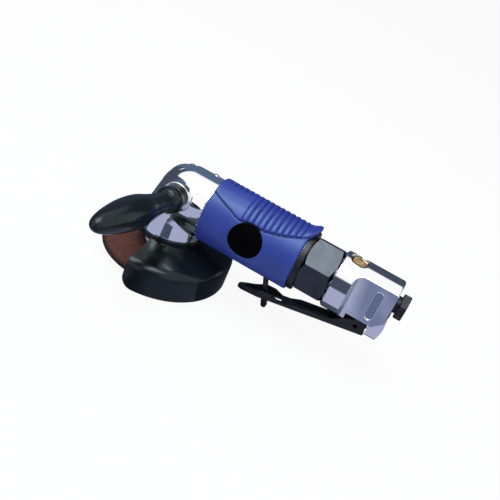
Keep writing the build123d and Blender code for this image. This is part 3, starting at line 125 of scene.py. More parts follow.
# Stage, in metres
WALL_ROUND, WALL_MIDDLE_X = 1.3, 0.07     # radius and middle of the walls of cards
FLOOR_GAP, CARD_GAP = 0.0005, 0.0003      # below the tool
ROOM_LIGHT, FLOOR_GLOW = 0.38, 0.92
ON_CARD = np.linspace(0, 1, 33)           # shares of a card's size at its points

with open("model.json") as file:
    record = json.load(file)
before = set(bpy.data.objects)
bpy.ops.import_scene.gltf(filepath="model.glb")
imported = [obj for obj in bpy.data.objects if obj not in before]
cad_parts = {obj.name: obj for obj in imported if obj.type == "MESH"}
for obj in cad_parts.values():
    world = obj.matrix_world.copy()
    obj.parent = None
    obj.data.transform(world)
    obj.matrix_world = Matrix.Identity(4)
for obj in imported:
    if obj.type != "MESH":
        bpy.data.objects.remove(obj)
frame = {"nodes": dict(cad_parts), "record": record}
cad_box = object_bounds()
scene = bpy.context.scene
scene.view_settings.view_transform = "Standard"
slot_of = {part["node"]: part["material_slot"] for part in frame["record"]["subparts"]}

Grid = namedtuple("Grid", "points round_rows round_columns keep", defaults=(False, False, None))


# Points, lines and grids

def stacked(*coordinates):
    """Points from their coordinates, which may be grids, rows or single numbers."""
    return np.stack(np.broadcast_arrays(*coordinates), axis=-1).astype(float)


def units(vectors):
    """Vectors brought to length 1."""
    return vectors / np.linalg.norm(vectors, axis=-1, keepdims=True)


def round_turn(count):
    """Even angles once round."""
    return np.linspace(0, TAU, count, endpoint=False)


def nearest(values, place):
    """Index of the value nearest to a place."""
    return int(np.argmin(np.abs(values - place)))


def step(low, high, at):
    """0 below low, 1 above high, and a smooth climb between them."""
    t = np.clip((at - low) / (high - low), 0, 1)
    return t * t * (3 - 2 * t)


def smooth_line(knots, values, at):
    """A cubic through the knots, with slopes taken from each knot's two neighbours."""
    knots = np.asarray(knots, float)
    slope = np.gradient(values, knots)
    i = np.clip(np.searchsorted(knots, at) - 1, 0, len(knots) - 2)
    gap = knots[i + 1] - knots[i]
    t = (at - knots[i]) / gap
    return ((1 + 2 * t) * (1 - t) ** 2 * values[i] + t * (1 - t) ** 2 * gap * slope[i]
            + t ** 2 * (3 - 2 * t) * values[i + 1] + t ** 2 * (t - 1) * gap * slope[i + 1])


def between(first, last, count):
    """Even runs of points from a row of first points to a row of last points."""
    t = np.linspace(0, 1, count)[None, :, None]
    return first[:, None] * (1 - t) + last[:, None] * t


def rings_between(first, last, count):
    """The same runs taken as rings, which go over from the first row to the last."""
    return between(first, last, count).swapaxes(0, 1)


def parabolas(first, at, last, steps):
    """Runs of points from first to last that set out and arrive along the lines to a corner."""
    t = np.linspace(0, 1, steps)[None, :, None]
    return (1 - t) ** 2 * first[:, None] + 2 * t * (1 - t) * at[:, None] + t ** 2 * last[:, None]


def bent(first, at, last, steps=5):
    """The same parabolas without their end points."""
    return parabolas(first, at, last, steps + 2)[:, 1:-1]


def rounded(corners, radius, steps=6):
    """A line from corner to corner whose inner corners become parabolas starting and ending radius away."""
    line = np.array(corners, float)
    at = line[1:-1]

    def towards(other):
        way = other - at
        return at + way * np.minimum(radius / np.linalg.norm(way, axis=1, keepdims=True), 0.45)

    curves = parabolas(towards(line[:-2]), at, towards(line[2:]), steps)
    return np.concatenate([line[:1], curves.reshape(-1, 2), line[-1:]])


def turned(profile, axis, centre=(0.0, 0.0), columns=96):
    """A profile of (radius, place along) carried round an axis: each point runs on a circle of its radius."""
    radius, along = np.asarray(profile, float).T[..., None]
    turn = round_turn(columns)
    u = centre[0] + radius * np.cos(turn)
    v = centre[1] + radius * np.sin(turn)
    order = {"x": (along, u, v), "y": (u, along, v), "z": (u, v, along)}[axis]
    return Grid(stacked(*order), round_columns=True)


def slab(outline, low, high, edge, carry):
    """A plate: its closed outline carried from low to high, drawn in towards its middle over a rounded edge,
    and closed by running both faces in to the middle. carry turns (u, v, height) into a place."""
    middle = outline.mean(axis=0)
    ahead = np.roll(outline, -1, axis=0) - np.roll(outline, 1, axis=0)
    inward = units(stacked(-ahead[:, 1], ahead[:, 0]))
    inward *= np.sign(np.sum(inward * (middle - outline), axis=1, keepdims=True))
    turn = np.linspace(0, math.pi / 2, 4)
    rise = edge * (1 - np.cos(turn))
    ease = edge * (1 - np.sin(turn))
    height = np.concatenate([[low], low + rise, high - ease, [high]])[:, None]
    close = np.broadcast_to(middle, (1,) + outline.shape)
    drawn_in = outline + np.concatenate([ease, rise])[:, None, None] * inward
    rings = np.concatenate([close, drawn_in, close])
    return Grid(carry(rings[..., 0], rings[..., 1], height), round_columns=True)


def open_window(points, keep, rows, columns):
    """Leave a window open in a grid's faces, and give the points round its border in order."""
    (r0, r1), (c0, c1) = rows, columns
    keep[r0:r1, c0:c1] = False
    return np.concatenate([points[r0, c0:c1], points[r0:r1, c1], points[r1, c1:c0:-1], points[r1:r0:-1, c0]])


def blend_bodies(a, b, reach):
    """The lesser of two distances, with the crease between them filled over about reach."""
    near = np.maximum(1 - abs(a - b) / reach, 0)
    return np.minimum(a, b) - reach * near ** 3 / 6


# Meshes

def make_piece(name, node, body, grids, sharp=40, bevel=0.0, marks=None, material=None):
    """Join grids of points into one mesh that stands for a node: four neighbours in a grid make a face, and
    points that meet are merged."""
    points, faces, start = [], [], 0
    for grid in grids:
        rows, columns = grid.points.shape[:2]
        i = np.arange(rows if grid.round_rows else rows - 1)[:, None]
        j = np.arange(columns if grid.round_columns else columns - 1)
        below, right = (i + 1) % rows, (j + 1) % columns
        corners = (i * columns + j, i * columns + right, below * columns + right, below * columns + j)
        quads = np.stack(np.broadcast_arrays(*corners), axis=-1)
        faces.append(start + (quads.reshape(-1, 4) if grid.keep is None else quads[grid.keep]))
        points.append(grid.points.reshape(-1, 3))
        start += rows * columns
    mesh = bpy.data.meshes.new(name)
    places = (np.concatenate(points) + (0, 0, AXIS_HEIGHT)) * MM
    mesh.from_pydata(places.tolist(), [], np.concatenate(faces).tolist())
    for mark, values in (marks or {}).items():
        mesh.attributes.new(mark, "FLOAT", "POINT").data.foreach_set("value", np.ravel(values))
    weld(mesh, new=True)
    dress(mesh, node, body, sharp, bevel, material)


def machined(node, body):
    """A welded copy of a turned or milled solid, shaded smooth between its edges."""
    mesh = frame["nodes"][node].data.copy()
    mesh.name = node + "_piece"
    weld(mesh)
    return dress(mesh, node, body, sharp=30)


def weld(mesh, new=False):
    """Weld points closer than 0.001 mm. In a new mesh, also drop what has no area and turn faces outwards."""
    work = bmesh.new()
    work.from_mesh(mesh)
    bmesh.ops.remove_doubles(work, verts=work.verts, dist=1e-6)
    if new:
        bmesh.ops.dissolve_degenerate(work, edges=work.edges, dist=1e-7)
        bmesh.ops.recalc_face_normals(work, faces=work.faces)
    work.to_mesh(mesh)
    work.free()


def dress(mesh, node, body, sharp, bevel=0.0, material=None):
    """Shade a mesh smooth between its sharp edges and let it ride on its body in place of its node."""
    mesh.polygons.foreach_set("use_smooth", np.ones(len(mesh.polygons), bool))
    mesh.set_sharp_from_angle(angle=math.radians(sharp))
    mesh.materials.clear()
    mesh.materials.append(material or finish[slot_of[node]])
    piece = bpy.data.objects.new(mesh.name, mesh)
    scene.collection.objects.link(piece)
    if bevel:
        edge = piece.modifiers.new("broken edges", "BEVEL")
        edge.width, edge.segments, edge.limit_method = bevel * MM, 2, "ANGLE"
        edge.angle_limit, edge.harden_normals = math.radians(sharp), True
    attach(piece, body)
    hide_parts(node)
    return piece


# Materials

def rgb(red, green, blue):
    return (red, green, blue, 1.0)


COOL_GLOSS = rgb(0.72, 0.95, 1.0)


def add_node(tree, kind, inputs=None, **settings):
    """A new shader node. Each input is another node's output, which is linked, or a plain value."""
    made = tree.nodes.new("ShaderNode" + kind)
    for setting, value in settings.items():
        setattr(made, setting, value)
    for socket, value in (inputs or {}).items():
        if isinstance(value, bpy.types.NodeSocket):
            tree.links.new(value, made.inputs[socket])
        else:
            made.inputs[socket].default_value = value
    return made


class Finish:
    """A material whose colour, roughness and relief come from nodes on Object coordinates."""

    def __init__(self, name, constants):
        self.material = bpy.data.materials.new(name)
        self.material.use_nodes = True
        self.tree = self.material.node_tree
        self.shader = self.tree.nodes["Principled BSDF"]
        for socket, value in constants.items():
            self.shader.inputs[socket].default_value = value
        self.place = self.node("TexCoord").outputs["Object"]

    def node(self, kind, inputs=None, **settings):
        return add_node(self.tree, kind, inputs, **settings)

    def mapped(self, scale=(1, 1, 1), turn=(0, 0, 0)):
        """Object coordinates stretched and turned."""
        inputs = {"Vector": self.place, "Scale": scale, "Rotation": turn}
        return self.node("Mapping", inputs).outputs["Vector"]

    def noise(self, scale, detail, place=None):
        inputs = {"Vector": place or self.place, "Scale": scale, "Detail": detail}
        return self.node("TexNoise", inputs).outputs["Fac"]

    def mark(self, name):
        return self.node("Attribute", attribute_name=name).outputs["Fac"]

    def level(self, value, low, high, to_low=0.0, to_high=1.0):
        """A value's span low to high laid on the span to_low to to_high."""
        inputs = {"Value": value, "From Min": low, "From Max": high, "To Min": to_low, "To Max": to_high}
        return self.node("MapRange", inputs).outputs["Result"]

    def math(self, operation, a, b):
        return self.node("Math", {0: a, 1: b}, operation=operation).outputs[0]

    def tint(self, share, dark, light):
        """Dark where the share is 0, light where it is 1."""
        return self.node("Mix", {0: share, 6: dark, 7: light}, data_type="RGBA").outputs[2]

    def done(self, colour, roughness, height, strength, depth):
        """Give the shader its colour, its roughness and bump of that depth in metres."""
        bump = self.node("Bump", {"Height": height, "Strength": strength, "Distance": depth})
        links = {"Base Color": colour, "Roughness": roughness, "Normal": bump.outputs["Normal"]}
        for socket, value in links.items():
            self.tree.links.new(value, self.shader.inputs[socket])
        return self.material


def chrome_plate():
    """Bright plate over a polished casting: faint waves and a breath of haze. Milled flats are satin and
    cloudy, with a painted reflection that darkens them to a bluish grey towards the rear, and painted shade
    on the sunk panels."""
    f = Finish("chrome plate", {"Metallic": 1.0})
    milled = f.mark("milled")
    plate = f.tint(f.noise(70, 4), rgb(0.935, 0.94, 0.955), rgb(0.97, 0.972, 0.98))
    x = f.node("SeparateXYZ", {"Vector": f.place}).outputs["X"]
    # painted reflection and shade: the milled flats go from bright near the run-out to a darker bluish grey
    # towards the rear
    rearward = f.math("ADD", f.level(x, 0.157, 0.168), f.level(f.noise(40, 2), 0.35, 0.65, -0.25, 0.25))
    satin = f.tint(f.level(rearward, 0.0, 1.0), rgb(0.95, 0.95, 0.97), rgb(0.42, 0.47, 0.56))
    # painted shade on the floors of the sunk panels
    panel = f.tint(f.noise(300, 3), rgb(0.24, 0.28, 0.36), rgb(0.36, 0.40, 0.47))
    colour = f.tint(f.level(milled, 1, 2), f.tint(milled, plate, satin), panel)
    polish = f.level(f.noise(160, 5), 0.35, 0.75, 0.02, 0.07)
    roughness = f.math("ADD", polish, f.level(milled, 0, 1, 0.0, 0.24))
    return f.done(colour, roughness, f.noise(120, 1), 0.05, 0.0004)


def blue_rubber():
    """Satin moulded rubber: fine even grain, cloudy in tone, with painted shade darkening the grooves."""
    f = Finish("blue rubber", {"Specular IOR Level": 0.66, "Specular Tint": rgb(0.72, 1.0, 1.0)})
    cloud = f.noise(45, 3)
    grain = f.noise(2600, 2)
    skin = f.tint(f.level(cloud, 0.3, 0.7), rgb(0.016, 0.030, 0.262), rgb(0.022, 0.041, 0.322))
    # painted shade: the grooves of the sleeve are darkened
    colour = f.tint(f.mark("groove"), skin, rgb(0.011, 0.014, 0.115))
    roughness = f.level(f.math("ADD", grain, f.math("MULTIPLY", cloud, 0.5)), 0.4, 1.1, 0.36, 0.5)
    return f.done(colour, roughness, grain, 0.2, 0.00012)


def handle_moulding():
    """Black moulding with a soft gloss and the faint flow marks of its mould."""
    f = Finish("handle moulding", {"Specular IOR Level": 0.3, "Specular Tint": COOL_GLOSS,
                                   "Coat Weight": 0.05, "Coat Roughness": 0.08})
    flow = f.noise(60, 4, f.mapped((1.0, 0.25, 1.0)))
    colour = f.tint(f.level(flow, 0.3, 0.7), rgb(0.0065, 0.0085, 0.0100), rgb(0.011, 0.014, 0.0165))
    roughness = f.level(f.noise(240, 5), 0.3, 0.7, 0.15, 0.22)
    return f.done(colour, roughness, f.noise(700, 2), 0.015, 0.00006)


def guard_paint():
    """Stoved gloss black on pressed sheet: orange peel and a few dull scuffs."""
    f = Finish("guard paint", {"Specular IOR Level": 0.3, "Specular Tint": COOL_GLOSS,
                               "Coat Weight": 0.08, "Coat Roughness": 0.05})
    scuff = f.noise(90, 6, f.mapped((1.0, 1.0, 3.0)))
    colour = f.tint(f.level(scuff, 0.55, 0.75), rgb(0.0062, 0.0082, 0.0098), rgb(0.012, 0.0145, 0.017))
    return f.done(colour, f.level(scuff, 0.4, 0.75, 0.16, 0.3), f.noise(420, 1), 0.07, 0.0001)


def badge_face():
    """Plain black badge with a hairline brushed finish."""
    f = Finish("badge face", {"Specular IOR Level": 0.02})
    lines = f.noise(600, 3, f.mapped((0.08, 1.0, 1.0)))
    colour = f.tint(lines, rgb(0.0006, 0.0006, 0.0008), rgb(0.002, 0.002, 0.0024))
    return f.done(colour, f.level(lines, 0.3, 0.7, 0.3, 0.45), lines, 0.06, 0.00004)


def blacked_steel():
    """Black oxide on machined steel: cloudy grey-black with fine tool marks across it."""
    f = Finish("blacked steel", {"Metallic": 0.55, "Specular IOR Level": 0.5})
    cloud = f.noise(140, 5)
    marks = f.noise(900, 2, f.mapped((0.1, 1.0, 1.0)))
    colour = f.tint(f.level(cloud, 0.3, 0.75), rgb(0.014, 0.016, 0.018), rgb(0.036, 0.040, 0.044))
    roughness = f.level(f.math("ADD", cloud, marks), 0.6, 1.4, 0.26, 0.46)
    return f.done(colour, roughness, marks, 0.12, 0.00005)


def nut_steel():
    """Blacked steel worn to a grey sheen on its flats, with fine tool marks and darker turned-off corners."""
    f = Finish("nut steel", {"Metallic": 0.85, "Specular IOR Level": 0.5})
    cloud = f.noise(120, 5)
    marks = f.noise(500, 2, f.mapped((0.15, 1.0, 1.0)))
    flats = f.tint(f.level(cloud, 0.3, 0.75), rgb(0.040, 0.046, 0.055), rgb(0.060, 0.068, 0.080))
    colour = f.tint(f.mark("turned_off"), flats, rgb(0.006, 0.006, 0.007))
    roughness = f.level(f.math("ADD", cloud, marks), 0.6, 1.4, 0.24, 0.34)
    return f.done(colour, roughness, marks, 0.05, 0.00005)


def bright_steel():
    """Machined steel with fine turning marks."""
    f = Finish("bright steel", {"Metallic": 1.0})
    marks = f.noise(1200, 3, f.mapped((1.0, 1.0, 0.15)))
    colour = f.tint(f.noise(90, 3), rgb(0.42, 0.43, 0.45), rgb(0.60, 0.61, 0.63))
    return f.done(colour, f.level(marks, 0.3, 0.7, 0.2, 0.38), marks, 0.12, 0.00004)


def wheel_grit():
    """Resin-bonded grit: packed grains, a faint cross of glass cloth, and a darker worn edge."""
    f = Finish("wheel grit", {"Specular IOR Level": 0.18})
    grain = f.node("TexVoronoi", {"Vector": f.place, "Scale": 1100.0}).outputs["Distance"]
    clump = f.noise(260, 5)
    body = f.tint(f.level(clump, 0.3, 0.7), rgb(0.064, 0.022, 0.0185), rgb(0.118, 0.042, 0.035))
    body = f.tint(f.level(grain, 0.05, 0.5), rgb(0.155, 0.070, 0.057), body)

    def threads(turn):
        inputs = {"Vector": f.mapped(turn=(0, 0, turn)), "Scale": 62.0}
        return f.level(f.node("TexWave", inputs, bands_direction="X").outputs["Fac"], 0.82, 1.0)

    cloth = f.math("MAXIMUM", threads(0.35), threads(1.92))
    body = f.tint(f.math("MULTIPLY", cloth, 0.22), body, rgb(0.165, 0.080, 0.064))
    out = f.node("VectorMath", {0: f.mapped((1, 1, 0))}, operation="LENGTH").outputs["Value"]
    colour = f.tint(f.level(out, 0.0462, 0.0495), body, rgb(0.022, 0.014, 0.013))
    height = f.math("ADD", f.math("MULTIPLY", grain, 0.8), clump)
    return f.done(colour, f.level(clump, 0.3, 0.7, 0.72, 0.95), height, 0.55, 0.0004)


def turned_brass():
    """Brass from the lathe, a little tarnished."""
    f = Finish("turned brass", {"Metallic": 1.0})
    tarnish = f.noise(220, 5)
    colour = f.tint(f.level(tarnish, 0.3, 0.75), rgb(0.42, 0.30, 0.19), rgb(0.86, 0.75, 0.58))
    return f.done(colour, f.level(tarnish, 0.3, 0.7, 0.14, 0.3), f.noise(1500, 2), 0.1, 0.00004)


def plain_metal(name, dark, light, low, high):
    """A machined inner part: two tones of its metal and a fine tooth."""
    f = Finish(name, {"Metallic": 1.0})
    cloud = f.noise(150, 4)
    roughness = f.level(cloud, 0.3, 0.7, low, high)
    return f.done(f.tint(cloud, dark, light), roughness, f.noise(1400, 2), 0.1, 0.00004)


def plain_moulding(name, dark, light, low, high):
    """A matt inner part of rubber or resin, with a fine grain."""
    f = Finish(name, {"Specular IOR Level": 0.35})
    cloud = f.noise(180, 4)
    roughness = f.level(cloud, 0.3, 0.7, low, high)
    return f.done(f.tint(cloud, dark, light), roughness, f.noise(1800, 2), 0.15, 0.00006)


finish = {
    "chrome": chrome_plate(),
    "blue_rubber": blue_rubber(),
    "handle_black": handle_moulding(),
    "guard_black": guard_paint(),
    "badge_black": badge_face(),
    "black_steel": blacked_steel(),
    "nut_steel": nut_steel(),
    "steel": bright_steel(),
    "abrasive": wheel_grit(),
    "brass": turned_brass(),
    "aluminium": plain_metal("machined aluminium", rgb(0.5, 0.51, 0.53), rgb(0.68, 0.69, 0.7), 0.3, 0.45),
    "cast_iron": plain_metal("ground iron", rgb(0.13, 0.13, 0.135), rgb(0.24, 0.24, 0.25), 0.35, 0.55),
    "black_rubber": plain_moulding("black rubber", rgb(0.012, 0.012, 0.013), rgb(0.03, 0.03, 0.031),
                                   0.55, 0.75),
    "vane_resin": plain_moulding("vane resin", rgb(0.16, 0.08, 0.04), rgb(0.3, 0.17, 0.085), 0.5, 0.7),
}
finish["chrome_housing"] = finish["chrome"]
for node, item in frame["nodes"].items():
    item.data.materials.clear()
    item.data.materials.append(finish[slot_of[node]])


# Angle head

def head_distance(p):
    """Distance to the head's skin: a lying neck with a round front, thinner under the sleeve, a standing bell
    and a handle boss, run together by fillets that fade out towards the top, where neck and bell are flush.
    Spot faces are taken off round the two fasteners on top."""
    x, y, z = np.moveaxis(p, -1, 0)
    off_axis = np.hypot(y, z)
    elbow = np.maximum(np.hypot(np.minimum(x - NECK_CAP_X, 0), off_axis) - ELBOW_R, x - ELBOW_END_X)
    neck = np.maximum(off_axis - NECK_R, np.maximum(NECK_CAP_X - x, x - NECK_END_X))
    fillet = SEAM_FILLET + ELBOW_FILLET * step(ELBOW_FADE_Z, -ELBOW_FADE_Z, z)
    skin = blend_bodies(elbow, bell_distance(np.hypot(x, y), z), fillet)
    skin = blend_bodies(np.minimum(skin, neck), boss_distance(x, y, z), BOSS_FILLET)
    lean_up = y * math.sin(TOP_LEAN) + z * math.cos(TOP_LEAN)
    lean_across = y * math.cos(TOP_LEAN) - z * math.sin(TOP_LEAN)
    for spot_x, spot_r, height in TOP_SPOTS:
        cut = np.maximum(np.hypot(x - spot_x, lean_across) - spot_r, height - lean_up)
        skin = -blend_bodies(-skin, cut, SPOT_EASE)
    return skin


def bell_distance(out, z):
    """Distance to the bell from how far out and how high a place is: a ball, and a cone that touches it."""
    up = z - CROWN_Z
    lip_up = RIM_Z + LIP - CROWN_Z
    turn = math.atan2(lip_up, RIM_R) + math.acos(CROWN_R / math.hypot(RIM_R, lip_up))
    cone = out * math.cos(turn) + up * math.sin(turn) - CROWN_R
    above = -out * math.sin(turn) + up * math.cos(turn) > 0
    return np.maximum(np.where(above, np.hypot(out, up) - CROWN_R, cone), out - RIM_R)


def boss_distance(x, y, z):
    """Distance to the boss on the near side: a stub cone that widens towards the neck, with an eased rim."""
    side = np.hypot(x - HANDLE_X, z - HANDLE_Z + BOSS_DROP) - BOSS_R - BOSS_DRAFT * (y + BOSS_Y) + BOSS_EDGE
    face = -BOSS_Y - y + BOSS_EDGE
    corner = np.hypot(np.maximum(side, 0), np.maximum(face, 0)) - BOSS_EDGE
    return np.maximum(corner + np.minimum(np.maximum(side, face), 0), y)


def reach_skin(start, ray):
    """Where each ray from inside the head meets its skin, found by halving the span 42 times."""
    low = np.zeros(ray.shape[:-1])
    high = np.full(ray.shape[:-1], 70.0)
    for _ in range(42):
        middle = (low + high) / 2
        inside = head_distance(start + ray * middle[..., None]) < 0
        low, high = np.where(inside, middle, low), np.where(inside, high, middle)
    return start + ray * low[..., None]


def angle_head():
    """The head's skin found along rays: upwards from a point in the head, and level from the spindle's axis
    below it. A window is left open on the far side and filled by the rings of the threaded handle hole."""
    turn = round_turn(360)
    degrees = np.concatenate([np.linspace(90, 52, 76), np.linspace(51.2, 0, 65)])
    tilt = np.radians(degrees)[:, None]
    up_rays = stacked(np.cos(tilt) * np.cos(turn), np.cos(tilt) * np.sin(turn), np.sin(tilt))
    dome = reach_skin(np.zeros(3), up_rays)
    lip_z = RIM_Z + LIP
    depth = np.concatenate([np.linspace(0, lip_z, 84)[1:], [lip_z - 0.05, RIM_Z + 0.25]])[:, None]
    skirt = reach_skin(stacked(0, 0 * turn, depth), stacked(np.cos(turn), np.sin(turn), 0 * depth))
    foot = [(RIM_R - 0.25, RIM_Z), (CAP_SPIGOT_R, RIM_Z), (CAP_SPIGOT_R, LOWER_Z), (0, LOWER_Z)]
    skin = np.concatenate([dome, skirt, turned(foot, "z", columns=len(turn)).points])
    keep = np.ones((len(skin) - 1, len(turn)), bool)
    hole = far_hole(open_window(skin, keep, [nearest(degrees, edge) for edge in FAR_TILTS], FAR_TURNS))
    make_piece("head_casting", "angle_head", "tool", [Grid(skin, round_columns=True, keep=keep), hole])


def far_hole(border):
    """The threaded handle hole on the far side: rings that run over the neck from a window's border to a spot
    face, down its wall, in over the face, along the ridges of the thread and over the floor."""
    middle = np.array([HANDLE_X, HANDLE_Z])
    angle = np.arctan2(border[:, 2] - HANDLE_Z, border[:, 0] - HANDLE_X)
    unit = stacked(np.cos(angle), np.sin(angle))

    def on_neck(place):
        return np.sqrt(ELBOW_R ** 2 - np.minimum(place[..., 0] - NECK_CAP_X, 0) ** 2 - place[..., 1] ** 2)

    around = rings_between(border[:, [0, 2]], middle + unit * (FAR_SEAT_R + 0.25), 14)
    around_y = on_neck(around)
    around_y[0] = border[:, 1]
    rim = (middle + unit * FAR_SEAT_R)[None]
    ridge = np.arange(10)
    thread_r = FAR_HOLE_R + FAR_RIDGE * (ridge % 2)
    radius = np.concatenate([[FAR_SEAT_R, FAR_HOLE_R + 0.7], thread_r, [FAR_HOLE_R, 0]])
    depth = np.concatenate([[0, 0], 0.6 + FAR_PITCH * ridge, [FAR_SEAT_Y - FAR_HOLE_Y] * 2])
    inward = middle + unit * radius[:, None, None]
    inward_y = np.minimum((FAR_SEAT_Y - depth)[:, None], on_neck(inward))
    place = np.concatenate([around, rim, inward])
    y = np.concatenate([around_y, on_neck(rim) - 0.2, inward_y])
    return Grid(stacked(place[..., 0], y, place[..., 1]), round_columns=True)


def handle_washer():
    """A flat washer with rounded rims."""
    ring = rounded([(STUD_R, -BOSS_Y), (STUD_R, WASHER_Y), (WASHER_R, WASHER_Y), (WASHER_R, -BOSS_Y),
                    (STUD_R, -BOSS_Y)], 0.75)
    make_piece("handle_washer_ring", "handle_washer", "tool", [turned(ring, "y", (HANDLE_X, HANDLE_Z))])


def handle_radius(reach):
    """Radius of the handle at places along it from the ball's centre: that of the ball, the collar or the
    leaf-shaped grip, whichever is largest, with a fine groove where ball and grip meet."""
    share = [0.0, 0.15, 0.3, 0.46, 0.62, 0.76, 0.89, 0.965, 1.0]
    neck = GRIP_NECK_R / GRIP_R
    width = np.array([neck, neck, 0.775, 0.98, 0.98, 0.845, 0.625, 0.39, 0.0])
    leaf = smooth_line(share, width ** 2, np.clip(reach / GRIP_LENGTH, 0, 1))
    leaf = GRIP_R * np.sqrt(np.maximum(leaf, 0))
    ball = np.sqrt(np.maximum(BALL_R ** 2 - reach ** 2, 0))
    size = np.maximum(ball, np.where(reach < 0, HANDLE_COLLAR_R, 0))
    size = np.maximum(size, np.where(reach > 0, leaf, 0))
    crease = math.sqrt(BALL_R ** 2 - GRIP_NECK_R ** 2)
    return size - CREASE_DEPTH * np.exp(-((reach - crease) / CREASE_WIDTH) ** 2)


def side_handle():
    """Circles carried along a line that leans off at the ball's centre: a collar, a ball and a grip."""
    front = BALL_Y - WASHER_Y
    to_tip = np.sin(np.linspace(0, math.pi / 2, 131)[1:])
    reach = np.concatenate([[front, front], np.linspace(front + 0.5, -5, 8), np.linspace(-4.8, 14, 120),
                            14 + (GRIP_LENGTH - 14) * to_tip])
    size = handle_radius(reach)
    size[[0, -1]] = 0
    size[1] -= 0.5
    straight = np.array([0.0, -1.0, 0.0])
    level = math.cos(GRIP_LIFT)
    leaning = np.array([-math.sin(GRIP_SWEEP) * level, -math.cos(GRIP_SWEEP) * level, math.sin(GRIP_LIFT)])
    ahead = units(straight + step(-4, 8, reach)[:, None] * (leaning - straight))
    across = units(np.cross(ahead, [0.0, 0.0, 1.0]))
    upward = np.cross(across, ahead)
    line = np.where(reach[:, None] < 0, straight, leaning)
    middle = np.array([HANDLE_X, BALL_Y, HANDLE_Z]) + reach[:, None] * line
    turn = round_turn(128)[:, None]
    around = np.cos(turn) * across[:, None] + np.sin(turn) * upward[:, None]
    skin = Grid(middle[:, None] + size[:, None, None] * around, round_columns=True)
    make_piece("side_handle_moulding", "side_handle", "tool", [skin], sharp=50)


# Wheel and guard

def grinding_wheel():
    """A depressed-centre wheel: its section turned about the spindle, with eased edges."""
    rim_z = WHEEL_FACE_Z + WHEEL_THICKNESS
    under_z = WHEEL_SEAT_Z - WHEEL_THICKNESS
    half = WHEEL_THICKNESS / 2
    seam = (WHEEL_BORE_R, WHEEL_SEAT_Z - half)
    top = [(WHEEL_BORE_R, WHEEL_SEAT_Z), (WHEEL_HUB_R, WHEEL_SEAT_Z), (WHEEL_STEP_R, rim_z), (WHEEL_R, rim_z)]
    under = [(WHEEL_R, WHEEL_FACE_Z), (WHEEL_STEP_R - half, WHEEL_FACE_Z), (WHEEL_HUB_R - half, under_z),
             (WHEEL_BORE_R, under_z)]
    section = rounded([seam] + top + under + [seam], 0.6, 5)
    make_piece("wheel_disc", "grinding_wheel", "spindle", [turned(section, "z", columns=200)])


def thick_sheet(outer, inner):
    """Two like sheets and the four strips that close their borders."""
    borders = [(sheet[0], sheet[-1], sheet[:, 0], sheet[:, -1]) for sheet in (outer, inner)]
    return [Grid(outer), Grid(inner)] + [Grid(np.stack(pair)) for pair in zip(*borders)]


def guard_sheet(depth, turn):
    """One face of the guard, depth under the outer one: a shallow cone, a round edge and a wall whose lower
    end rises in a quarter circle towards both ends of the sweep."""
    slope = math.atan2(GUARD_TOP_Z - GUARD_EDGE_Z, GUARD_R - COLLAR_R)
    drop = depth / math.cos(slope)
    root_r = COLLAR_R - GUARD_SHEET / 2
    root_z = GUARD_TOP_Z + (COLLAR_R - root_r) * math.tan(slope) - drop
    wall_r = GUARD_R - depth
    corner_z = GUARD_EDGE_Z - drop + depth * math.tan(slope)
    bend = (GUARD_EDGE_R - depth) * math.tan((math.pi / 2 - slope) / 2)
    crown = rounded([(root_r, root_z), (wall_r, corner_z), (wall_r, corner_z - 2 * bend)], bend, 14)[:-1]
    over = np.concatenate([np.linspace(crown[0], crown[1], 14)[:-1], crown[1:]])
    end = np.minimum(turn - GUARD_FROM, GUARD_TO - turn) * GUARD_R
    short = np.maximum(GUARD_CORNER_R - end, 0)
    lift = GUARD_CORNER_R - np.sqrt(np.maximum(GUARD_CORNER_R ** 2 - short ** 2, 0))
    share = np.linspace(0, 1, 12)[1:, None]
    wall_z = over[-1, 1] + share * (GUARD_RIM_Z + lift - over[-1, 1])
    radius = np.concatenate([over[:, :1], np.full((len(wall_z), 1), wall_r)])
    height = np.concatenate([np.broadcast_to(over[:, 1:], (len(over), len(turn))), wall_z])
    return stacked(radius * np.cos(turn), radius * np.sin(turn), height)


def guard_bowl():
    """The pressed half bowl, with points packed towards the round ends of its sweep."""
    near_ends = np.linspace(0, 1, 24) ** 1.5 * GUARD_CORNER_R * 1.2 / GUARD_R
    turn = np.concatenate([GUARD_FROM + near_ends, np.linspace(GUARD_FROM, GUARD_TO, 134)[10:-10],
                           (GUARD_TO - near_ends)[::-1]])
    return thick_sheet(guard_sheet(0.0, turn), guard_sheet(GUARD_SHEET, turn))


def guard_collar():
    """The split collar: its section carried round from ear to ear and run in to its middle at both ends."""
    gap = EAR_FROM / COLLAR_R
    sweep = np.linspace(EAR_TURN + gap, EAR_TURN + TAU - gap, 160)
    around = np.concatenate([sweep[:1], sweep, sweep[-1:]])[:, None]
    section = rounded([(COLLAR_IN_R, COLLAR_SEAM_Z), (COLLAR_IN_R, COLLAR_TOP_Z), (COLLAR_R, COLLAR_TOP_Z),
                       (COLLAR_R, COLLAR_LOW_Z), (COLLAR_IN_R, COLLAR_LOW_Z), (COLLAR_IN_R, COLLAR_SEAM_Z)],
                      0.6, 4)[:-1]
    radius, height = np.repeat(section.T[:, None], len(around), axis=1)
    radius[[0, -1]], height[[0, -1]] = section.mean(axis=0)
    return Grid(stacked(radius * np.cos(around), radius * np.sin(around), height), round_columns=True)


